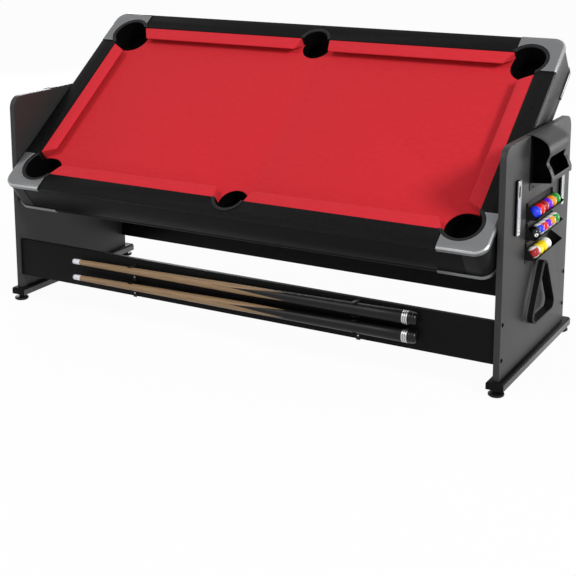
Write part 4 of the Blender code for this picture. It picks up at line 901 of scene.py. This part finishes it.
def notch(a, b):
    """The cut for one pocket in the bed: round on its inside, and open to the board's edge."""
    radius = CORNER_HOLE if a else SIDE_HOLE
    u, v = CORNER_POCKET if a else SIDE_POCKET
    line = arc((u, v), radius, 180, 270 if a else 360, 24 if a else 48)
    if a:
        line += [(PAST_U, v - radius), (PAST_U, PAST_V), (u - radius, PAST_V)]
    else:
        line += [(radius, PAST_V), (-radius, PAST_V)]
    return [((a or 1) * p, b * q) for p, q in line]


def on_notch(place):
    """Whether an edge lies on the bed's top, round a notch and not along the board's own edges."""
    inside = abs(place.x) < BED_U - SHARP_STRIP and abs(place.y) < BED_V - SHARP_STRIP
    return inside and place.z > BED_TOP - 0.0001


bed = slab(-BED_U, -BED_V, BED_U, BED_V, BED_TOP - BED_THICKNESS, BED_TOP)
bed = cut(bed, *(prism(notch(a, b), 0, 0.05) for a, b in POCKETS.values()))
finish_node("pool_bed", tilted(round_over(bed, 0.0025, 3, on_notch)), [red_cloth], "table")


# The six cushions: rubber strips glued to the rail blocks, with the same red cloth pulled round
# them. Two lie along each long side, and one at each end.

for name in ("front_left", "front_right", "rear_left", "rear_right", "left_end", "right_end"):
    # The cushions take the lighter cloth: painted light.
    dress(name + "_cushion", cushion_cloth_painted_light, "table", 0.0018, 4)


# The pool rail: flat rail tops of board in black foil, mitred and glued into one frame over the
# aprons, with the blocks that carry the cushions.

RAIL_LINE_U, RAIL_LINE_V = 0.924, 0.418

# Black foil with a smooth satin face on the rail tops.
rail_foil = surfaced("satin_black_foil", "#101010", 0.36, 0.012, ("#0E0E0E", "#131313"),
                     (0.32, 0.42), 0.00003, Specular_IOR_Level=0.05)

dress("pool_rail_frame", rail_foil, "table", 0.0015, 3)


# The pocket liners: moulded plastic cups with a rounded rim that lies on the rail, cut down to
# the bed where the pocket opens to the cloth.

LINER_WALL, LINER_FLOOR, MOUTH_REACH = 0.003, -0.028, 0.17
RIM_LOW, RIM_TOP = 0.0688, 0.0715
CORNER_RIM, SIDE_RIM = 0.0797, 0.0677

# Soft black PVC with a fine grain, on the rim: dark grey with a dull shine.
liner_pvc = surfaced("soft_black_pvc", "#151516", 0.42, 0.002, ("#131314", "#19191A"), (0.36, 0.48), 0.0001,
                     Specular_IOR_Level=0.15)
# Near black inside the cup, darker than the rim: painted shade, the shade that fills the pocket.
cup_painted_shade = surfaced("cup_painted_shade", "#060606", 0.95, 0.0015, ("#050505", "#090909"), (0.9, 1.0), 0.0002,
                       Specular_IOR_Level=0.03)


def pocket_liner(a, b):
    x, y = pocket_place(a, b)
    wall = (CORNER_HOLE if a else SIDE_HOLE) - 0.0006
    rim = CORNER_RIM if a else SIDE_RIM
    inside = wall - LINER_WALL
    cup = turned([
        (LINER_FLOOR, 0), (LINER_FLOOR, wall - 0.006), (LINER_FLOOR + 0.002, wall - 0.002),
        (LINER_FLOOR + 0.006, wall), (RIM_LOW, wall), (RIM_LOW, rim - 0.0004), (RIM_LOW + 0.0008, rim),
        (RIM_LOW + 0.0016, rim - 0.0003), (RIM_TOP - 0.0002, rim - 0.0020), (RIM_TOP, rim - 0.0040),
        (RIM_TOP, inside + 0.0045), (RIM_TOP - 0.0006, inside + 0.0020), (RIM_TOP - 0.0025, inside + 0.0004),
        (RIM_TOP - 0.0050, inside), (LINER_FLOOR + 0.011, inside), (LINER_FLOOR + 0.006, inside - 0.002),
        (LINER_FLOOR + 0.0035, inside - 0.006), (LINER_FLOOR + LINER_WALL, inside - 0.012),
        (LINER_FLOOR + LINER_WALL, 0),
    ], 96)
    moved(cup, (x, y, 0), upright=True)
    near_v, far_v = (b * (RAIL_LINE_V - inset) for inset in (0.0003, MOUTH_REACH))
    near_u, far_u = (a * (RAIL_LINE_U - inset) for inset in (0.0003, MOUTH_REACH))
    if not a:
        near_u, far_u = -MOUTH_REACH, MOUTH_REACH
    cup = cut(cup, slab(near_u, near_v, far_u, far_v, BED_TOP, 0.1))

    # The faces inside the cup take the painted shade.
    def inside_cup(face):
        place = face.calc_center_median()
        return math.hypot(place.x - x, place.y - y) < wall - 0.001 and place.z < RIM_TOP - 0.004

    return tilted(paint(cup, inside_cup))


for where, (a, b) in POCKETS.items():
    finish_node(where + "_pocket", pocket_liner(a, b), [liner_pvc, cup_painted_shade], "table")


# The corner castings: silver corner pieces over the rail, four on each face of the table, with a
# wide bevel along the outer edge that catches the light, and a skirt down the side. The pool ones
# are cut out round the pocket's rim.

CASTING_FACE, CASTING_PLATE, CASTING_SKIRT = 0.0725, 0.0037, 0.018
CASTING_U, CASTING_V = 0.9985, 0.4995
CASTING_CORNER = 0.0505
POOL_LEG_U, POOL_LEG_V = 0.172, 0.170
HOCKEY_LEG_U, HOCKEY_LEG_V = 0.195, 0.175
HOCKEY_INNER = (0.909, 0.409, 0.020)

# Silver paint on a moulding: a mid grey full of fine metal flake, drawn at 1 mm, under a clear coat.
silver_paint = surfaced("silver_paint", "#707173", 0.34, 0.001, ("#6C6D6F", "#757678"),
                        (0.32, 0.36), 0.000004, 0.6, Coat_Weight=0.15, Coat_Roughness=0.2)

# A lighter, smoother silver on the castings' bevels: the lighter colour is a painted highlight, the
# line of light round each one.
bevel_painted_highlight = surfaced("casting_bevel_painted_highlight", "#ABACAE", 0.26, 0.002, ("#A5A6A8", "#B1B2B4"),
                        (0.22, 0.30), 0.000004, 0.9)

# The outer edge's bevel: how far in, and how far down.
BEVEL = ((0.0, 0.0050), (0.0007, 0.0043), (0.0058, 0.0003), (0.0070, 0.0))


def hollow_casting(outline, signs):
    """The plate and skirt over the table's corner, bevelled along its outer edge."""
    block = skinned([[(p, q, CASTING_FACE - drop) for p, q in outline(inset)]
                     for inset, drop in ((0.0, CASTING_SKIRT), *BEVEL)])
    room = rounded_box(BODY_U, BODY_V, BODY_CORNER, 0.0003, 20)
    shape = cut(block, prism(room, CASTING_FACE - CASTING_SKIRT - 0.01, CASTING_FACE - CASTING_PLATE))
    round_over(shape, 0.0006, 2, least=50)
    # The bevel's faces take the lighter silver: painted highlight.
    bevel_foot = CASTING_FACE - BEVEL[0][1] + 0.0002
    paint(shape, lambda face: face.calc_center_median().z > bevel_foot and 0.25 < face.normal.z < 0.97)
    shape.transform(Matrix.Diagonal((*signs, 1)))
    return tilted(outward(shape))


def outer_corner(inset):
    centre = (CASTING_U - CASTING_CORNER, CASTING_V - CASTING_CORNER)
    return arc(centre, CASTING_CORNER - inset, 0, 90, 20)


def pool_casting_outline(inset):
    x, y = CORNER_POCKET
    cut_out = CORNER_RIM + 0.0006
    leg_u, leg_v = CASTING_U - POOL_LEG_U, CASTING_V - POOL_LEG_V
    start = math.degrees(math.acos((leg_u - x) / cut_out))
    stop = math.degrees(math.asin((leg_v - y) / cut_out))
    around_pocket = arc((x, y), cut_out, start, stop, 40)
    return outer_corner(inset) + [(leg_u, CASTING_V - inset)] + around_pocket + [(CASTING_U - inset, leg_v)]


def hockey_casting_outline(inset):
    inner_u, inner_v, inner_radius = HOCKEY_INNER
    leg_u, leg_v = CASTING_U - HOCKEY_LEG_U, CASTING_V - HOCKEY_LEG_V
    inner = arc((inner_u - inner_radius, inner_v - inner_radius), inner_radius, 90, 0, 8)
    return (outer_corner(inset) + [(leg_u, CASTING_V - inset), (leg_u, inner_v)] + inner
            + [(inner_u, leg_v), (CASTING_U - inset, leg_v)])


for where, (a, b) in POCKETS.items():
    for face, outline, up in (("_pool", pool_casting_outline, 1), ("_hockey", hockey_casting_outline, -1)):
        if a:
            finish_node(where + face + "_casting", hollow_casting(outline, (a, b, up)),
                        [silver_paint, bevel_painted_highlight], "table")


# The hockey field: a white lacquered board drilled all over with fine air holes and printed with
# red and blue lines, inside a black rail that has a goal slot at each end.

FIELD = -0.0495
FIELD_U, FIELD_V = 0.905, 0.405
PRINT = 0.00015
HOLE_SPACING, HOLE_RADIUS, HOLE_DEPTH = 0.025, 0.0008, 0.0002
SPOT_U, SPOT_V, BLUE_LINE_U = 0.5, 0.235, 0.27
# The printed rings' radius and width, the dots' radius, and half the width of the lines across.
CENTRE_RING, SPOT_RING, GOAL_RING = (0.105, 0.006), (0.085, 0.005), (0.130, 0.005)
CENTRE_DOT, SPOT_DOT, LINE_HALF, LINE_START = 0.008, 0.007, 0.003, 0.106

# White lacquer on board: glossy and nearly even, with a faint ripple.
white_lacquer = surfaced("white_lacquer", "#E6E6E6", 0.18, 0.020, ("#E2E2E2", "#EAEAEA"),
                         (0.14, 0.22), 0.00003, Coat_Weight=0.5, Coat_Roughness=0.08)
# Screen print under the lacquer, in red and in blue: flat clear colour with the board's own shine.
red_print = surfaced("red_field_print", "#C4202A", 0.3, 0.003, ("#BC1C26", "#CC2430"),
                     (0.26, 0.36), 0.00001)
blue_print = surfaced("blue_field_print", "#2F78B4", 0.3, 0.003, ("#2A70AA", "#3580BE"),
                      (0.26, 0.36), 0.00001)


def printed_ring(u, v, radius, width):
    """A ring printed on the field, as a very thin band."""
    rings = [[(p, q, z) for p, q in arc((u, v), r, 0, 354.375, 63)]
             for r, z in ((radius, FIELD), (radius, FIELD - PRINT),
                          (radius - width, FIELD - PRINT), (radius - width, FIELD))]
    return skinned(rings, looped=True)


def printed_bar(low_u, low_v, high_u, high_v):
    return slab(low_u, low_v, high_u, high_v, FIELD - PRINT, FIELD)


def printed_dot(u, v, radius):
    return prism(arc((u, v), radius, 0, 345, 23), FIELD - PRINT, FIELD)


dress("hockey_playfield", white_lacquer, "table", 0.0005, 1)
red_shapes = [printed_ring(0, 0, *CENTRE_RING), printed_dot(0, 0, CENTRE_DOT),
              printed_bar(-LINE_HALF, -FIELD_V, LINE_HALF, -LINE_START),
              printed_bar(-LINE_HALF, LINE_START, LINE_HALF, FIELD_V)]
for u in (-SPOT_U, SPOT_U):
    for v in (-SPOT_V, SPOT_V):
        red_shapes += [printed_ring(u, v, *SPOT_RING), printed_dot(u, v, SPOT_DOT)]
goal_radius, goal_width = GOAL_RING
for side in (-1, 1):
    start, stop = (90, 270) if side > 0 else (-90, 90)
    goal = arc((side * FIELD_U, 0), goal_radius, start, stop, 32)
    goal += arc((side * FIELD_U, 0), goal_radius - goal_width, stop, start, 32)
    red_shapes.append(prism(goal, FIELD - PRINT, FIELD))
make_piece("field_red_lines", tilted(joined(*red_shapes)), [red_print], "table")
blue_shapes = [printed_bar(u - LINE_HALF, -FIELD_V, u + LINE_HALF, FIELD_V)
               for u in (-BLUE_LINE_U, BLUE_LINE_U)]
make_piece("field_blue_lines", tilted(joined(*blue_shapes)), [blue_print], "table")

# The dark inside of a drilled hole.
hole_shadow = surfaced("drilled_hole", "#202020", 0.8, 0.010, ("#1A1A1A", "#262626"), (0.75, 0.85), 0.00001)


def named_tree(name, sizes):
    """A Geometry Nodes tree with named inputs, and the node that they come from."""
    tree = bpy.data.node_groups.new(name, "GeometryNodeTree")
    tree.interface.new_socket("Geometry", in_out="INPUT", socket_type="NodeSocketGeometry")
    for size, kind in sizes.items():
        tree.interface.new_socket(size, in_out="INPUT", socket_type=kind)
    tree.interface.new_socket("Geometry", in_out="OUTPUT", socket_type="NodeSocketGeometry")
    return tree, add_node(tree, "NodeGroupInput")


def close_tree(tree, sizes, instances):
    """Ends a tree: the instances are made real and painted."""
    real = add_node(tree, "GeometryNodeRealizeInstances", {"Geometry": (instances, "Instances")})
    painted = add_node(tree, "GeometryNodeSetMaterial", {
        "Geometry": (real, "Geometry"), "Material": (sizes, "Finish")})
    add_node(tree, "NodeGroupOutput", {"Geometry": (painted, "Geometry")})
    return tree


def grown(name, tree, values, base):
    """Runs a tree on a base mesh and gives its result as a shape."""
    carrier = placed(name, base)
    change = carrier.modifiers.new(name, "NODES")
    change.node_group = tree
    sockets = {s.name: s.identifier for s in tree.interface.items_tree if s.in_out == "INPUT"}
    for size, value in values.items():
        change[sockets[size]] = value
    graph = bpy.context.evaluated_depsgraph_get()
    result = bpy.data.meshes.new_from_object(carrier.evaluated_get(graph))
    carrier.modifiers.remove(change)
    bpy.data.objects.remove(carrier)
    return shape_of(result)


def air_hole_tree():
    """A grid of drilled holes over the field."""
    tree, sizes = named_tree("air_holes", {
        "Field Length": "NodeSocketFloat", "Field Width": "NodeSocketFloat", "Holes Along": "NodeSocketInt",
        "Holes Across": "NodeSocketInt", "Hole Radius": "NodeSocketFloat", "Hole Depth": "NodeSocketFloat",
        "Finish": "NodeSocketMaterial"})
    grid = add_node(tree, "GeometryNodeMeshGrid", {
        "Size X": (sizes, "Field Length"), "Size Y": (sizes, "Field Width"),
        "Vertices X": (sizes, "Holes Along"), "Vertices Y": (sizes, "Holes Across")})
    hole = add_node(tree, "GeometryNodeMeshCylinder", {
        "Vertices": 8, "Radius": (sizes, "Hole Radius"), "Depth": (sizes, "Hole Depth")})
    drilled = add_node(tree, "GeometryNodeInstanceOnPoints", {
        "Points": (grid, "Mesh"), "Instance": (hole, "Mesh")})
    return close_tree(tree, sizes, drilled)


along, across = round(2 * FIELD_U / HOLE_SPACING) - 1, round(2 * FIELD_V / HOLE_SPACING) - 1
holes = grown("air_holes", air_hole_tree(), {
    "Field Length": (along - 1) * HOLE_SPACING, "Field Width": (across - 1) * HOLE_SPACING,
    "Holes Along": along, "Holes Across": across, "Hole Radius": HOLE_RADIUS, "Hole Depth": HOLE_DEPTH,
    "Finish": hole_shadow,
}, bpy.data.meshes.new("empty"))
holes.transform(Matrix.Translation((0, 0, FIELD - PRINT)))
make_piece("field_air_holes", tilted(holes), [hole_shadow], "table")

dress("hockey_rail_frame", rail_foil, "table", 0.0015, 3)
dress("hockey_blower", moulded_black, "table", 0.0015)


# The screws: pan heads with a cross recess, pressed from steel wire. They are black in the boards,
# the tray stack and the hoods, and zinc-plated in the strips and the clips.

# The block that cuts a head flat underneath, far wider than any head, and how low it starts.
UNDERSIDE, UNDERSIDE_DROP = (0.1, 0.1, 0.05), 0.0001


def screw_tree():
    """A cross-recessed pan head on every point, facing along the point's own direction."""
    tree, sizes = named_tree("screw_heads", {
        "Head Radius": "NodeSocketFloat", "Head Height": "NodeSocketFloat", "Recess Width": "NodeSocketFloat",
        "Finish": "NodeSocketMaterial"})
    wide = add_node(tree, "ShaderNodeCombineXYZ", {
        "X": (sizes, "Head Radius"), "Y": (sizes, "Head Radius"), "Z": (sizes, "Head Height")})
    ball = add_node(tree, "GeometryNodeMeshUVSphere", {"Segments": 24, "Rings": 12, "Radius": 1.0})
    dome = add_node(tree, "GeometryNodeTransform", {"Geometry": (ball, "Mesh"), "Scale": (wide, "Vector")})
    cube = add_node(tree, "GeometryNodeMeshCube", {"Size": UNDERSIDE})
    cutters = [add_node(tree, "GeometryNodeTransform", {
        "Geometry": (cube, "Mesh"), "Translation": (0, 0, -UNDERSIDE[2] / 2 - UNDERSIDE_DROP)})]
    up = add_node(tree, "ShaderNodeCombineXYZ", {"Z": (sizes, "Head Height")})
    for long_side, short_side in ("XY", "YX"):
        size = add_node(tree, "ShaderNodeCombineXYZ", {
            long_side: (sizes, "Head Radius"), short_side: (sizes, "Recess Width"),
            "Z": (sizes, "Head Height")})
        bar = add_node(tree, "GeometryNodeMeshCube", {"Size": (size, "Vector")})
        cutters.append(add_node(tree, "GeometryNodeTransform", {
            "Geometry": (bar, "Mesh"), "Translation": (up, "Vector")}))
    head = (dome, "Geometry")
    for cutter in cutters:
        head = (add_node(tree, "GeometryNodeMeshBoolean", {"Mesh 1": head, "Mesh 2": (cutter, "Geometry")},
                         operation="DIFFERENCE", solver="EXACT"), "Mesh")
    facing = add_node(tree, "GeometryNodeInputNamedAttribute", {"Name": "facing"}, data_type="FLOAT_VECTOR")
    turn = add_node(tree, "FunctionNodeAlignRotationToVector", {"Vector": (facing, "Attribute")}, axis="Z")
    driven = add_node(tree, "GeometryNodeInstanceOnPoints", {
        "Points": (sizes, "Geometry"), "Instance": head, "Rotation": (turn, "Rotation")})
    return close_tree(tree, sizes, driven)


screw_heads = screw_tree()


def drive_screws(name, points, facing, radius, finish):
    """Screw heads at the points, all facing one way, in one mesh."""
    mesh = bpy.data.meshes.new(name)
    mesh.from_pydata(points, [], [])
    direction = mesh.attributes.new("facing", "FLOAT_VECTOR", "POINT")
    direction.data.foreach_set("vector", [float(part) for part in facing] * len(points))
    sizes = {"Head Radius": radius, "Head Height": radius / 2, "Recess Width": radius / 4, "Finish": finish}
    make_piece(name, grown(name, screw_heads, sizes, mesh), [finish], "stand")


# The faces that the heads lie on, and where the screws are: along Y and Z in the panels, and along
# X and Z in the clips.
STRIP_FRONT = PANEL_FACE + PANEL_GAP + STRIP_DEPTH - STRIP_RECESS
HOOD_FRONT, CLIP_FRONT = PANEL_FACE + PANEL_GAP + HOOD_SHEET, -0.3468
BOARD_SCREWS = [(y, z) for y in (-0.333, 0.333) for z in (0.120, 0.243)]
STRIP_SCREWS = [(y, z) for y in (-STRIP_Y, STRIP_Y) for z in (0.538, 0.6965)]
HOOD_SCREWS = [(y, 0.6545) for y in (-0.077, 0.077)]
CLIP_SCREWS = ((-0.440, 0.1827), (-0.440, 0.119), (0.510, 0.1922), (0.510, 0.119))
for name, x, screws, radius, finish in (
        ("right_panel_screws", PANEL_FACE, BOARD_SCREWS, 0.0075, flat_black_and_painted_shade),
        ("left_panel_screws", -PANEL_FACE, BOARD_SCREWS, 0.0075, flat_black_and_painted_shade),
        ("tray_stack_screw", PANEL_FACE, [(0.139, 0.325)], 0.0042, flat_black_and_painted_shade),
        ("strip_screws", STRIP_FRONT, STRIP_SCREWS, 0.0042, zinc_plate),
        ("left_hood_screws", -HOOD_FRONT, HOOD_SCREWS, 0.0040, black_oxide),
        ("right_hood_screws", HOOD_FRONT, HOOD_SCREWS, 0.0040, black_oxide)):
    drive_screws(name, [(x, y, z) for y, z in screws], (math.copysign(1, x), 0, 0), radius, finish)
drive_screws("clip_screws", [(x, CLIP_FRONT, z) for x, z in CLIP_SCREWS], (0, -1, 0), 0.0030, zinc_plate)


# The studio: a pale floor and backdrop that the camera sees as white, four soft boxes and a
# camera at the photograph's angle. None of it is part of the table.

FLOOR_REACH = 40
# How far the camera sees the paper lightened to white, and the light of the room on the table.
PAPER_LIGHTENING, ROOM_LIGHT = 0.95, 0.46


def seen_by_camera(tree):
    """1 where the camera sees a surface, straight on or by way of gloss or glass, and 0 elsewhere."""
    path = add_node(tree, "ShaderNodeLightPath")
    seen = add_node(tree, "ShaderNodeMath", {0: (path, "Is Camera Ray"), 1: (path, "Is Glossy Ray")},
                    operation="MAXIMUM")
    return add_node(tree, "ShaderNodeMath", {0: (seen, 0), 1: (path, "Is Transmission Ray")},
                    operation="MAXIMUM")


def studio_paper():
    """Matt white paper, which the camera sees lightened towards white but still with its shadow."""
    paper = bpy.data.materials.new("studio_paper")
    paper.use_nodes = True
    tree = paper.node_tree
    shader = tree.nodes["Principled BSDF"]
    shader.inputs["Base Color"].default_value = linear("#E9E9E9")
    shader.inputs["Roughness"].default_value = 0.9
    share = add_node(tree, "ShaderNodeMath", {0: (seen_by_camera(tree), 0), 1: PAPER_LIGHTENING},
                     operation="MULTIPLY")
    glow = add_node(tree, "ShaderNodeEmission", {"Color": (1, 1, 1, 1), "Strength": 1.0})
    mix = add_node(tree, "ShaderNodeMixShader", {0: (share, 0), 1: (shader, 0), 2: (glow, 0)})
    tree.links.new(mix.outputs[0], tree.nodes["Material Output"].inputs["Surface"])
    return paper


floor_mesh = bpy.data.meshes.new("floor")
corners = [(a * FLOOR_REACH, b * FLOOR_REACH, 0) for a, b in ((-1, -1), (1, -1), (1, 1), (-1, 1))]
floor_mesh.from_pydata(corners, [], [(0, 1, 2, 3)])
floor_mesh.materials.append(studio_paper())
placed("floor", floor_mesh)

world = bpy.data.worlds.new("studio")
bpy.context.scene.world = world
world.use_nodes = True
sky = world.node_tree.nodes["Background"]
sky.inputs["Color"].default_value = (1, 1, 1, 1)
strength = add_node(world.node_tree, "ShaderNodeMapRange", {
    "Value": (seen_by_camera(world.node_tree), 0), "To Min": ROOM_LIGHT, "To Max": 1.0})
world.node_tree.links.new(strength.outputs["Result"], sky.inputs["Strength"])


def soft_box(name, place, target, size, power):
    lamp = bpy.data.lights.new(name, "AREA")
    lamp.shape, lamp.energy = "RECTANGLE", power
    lamp.size, lamp.size_y = size
    box = placed(name, lamp)
    box.location = place
    box.rotation_euler = (Vector(target) - Vector(place)).to_track_quat("-Z", "Y").to_euler()


soft_box("high_right", (8.6, -3.2, 5.8), (0.1, 0, 0.75), (2.2, 2.2), 650)
soft_box("low_right", (5.2, 5.6, 0.9), (1.0, 0, 0.5), (2.4, 2.0), 130)
soft_box("fill", (-2.4, -4.2, 5.2), (-0.6, 0, 0.7), (2.4, 2.0), 115)
soft_box("rear_left", (-4.6, 4.4, 2.4), (-0.6, 0, 0.5), (2.4, 2.0), 140)

camera = placed("camera", bpy.data.cameras.new("camera"))
camera.location = (2.2859, -4.0259, 1.6379)
camera.rotation_euler = (math.radians(78.46), 0, math.radians(29.13))
camera.data.sensor_width = 36
camera.data.lens = 77.475
camera.data.shift_x, camera.data.shift_y = -0.0016, -0.2541
camera.data.clip_start, camera.data.clip_end = 0.05, 200
bpy.context.scene.camera = camera
bpy.context.scene.view_settings.view_transform = "Standard"
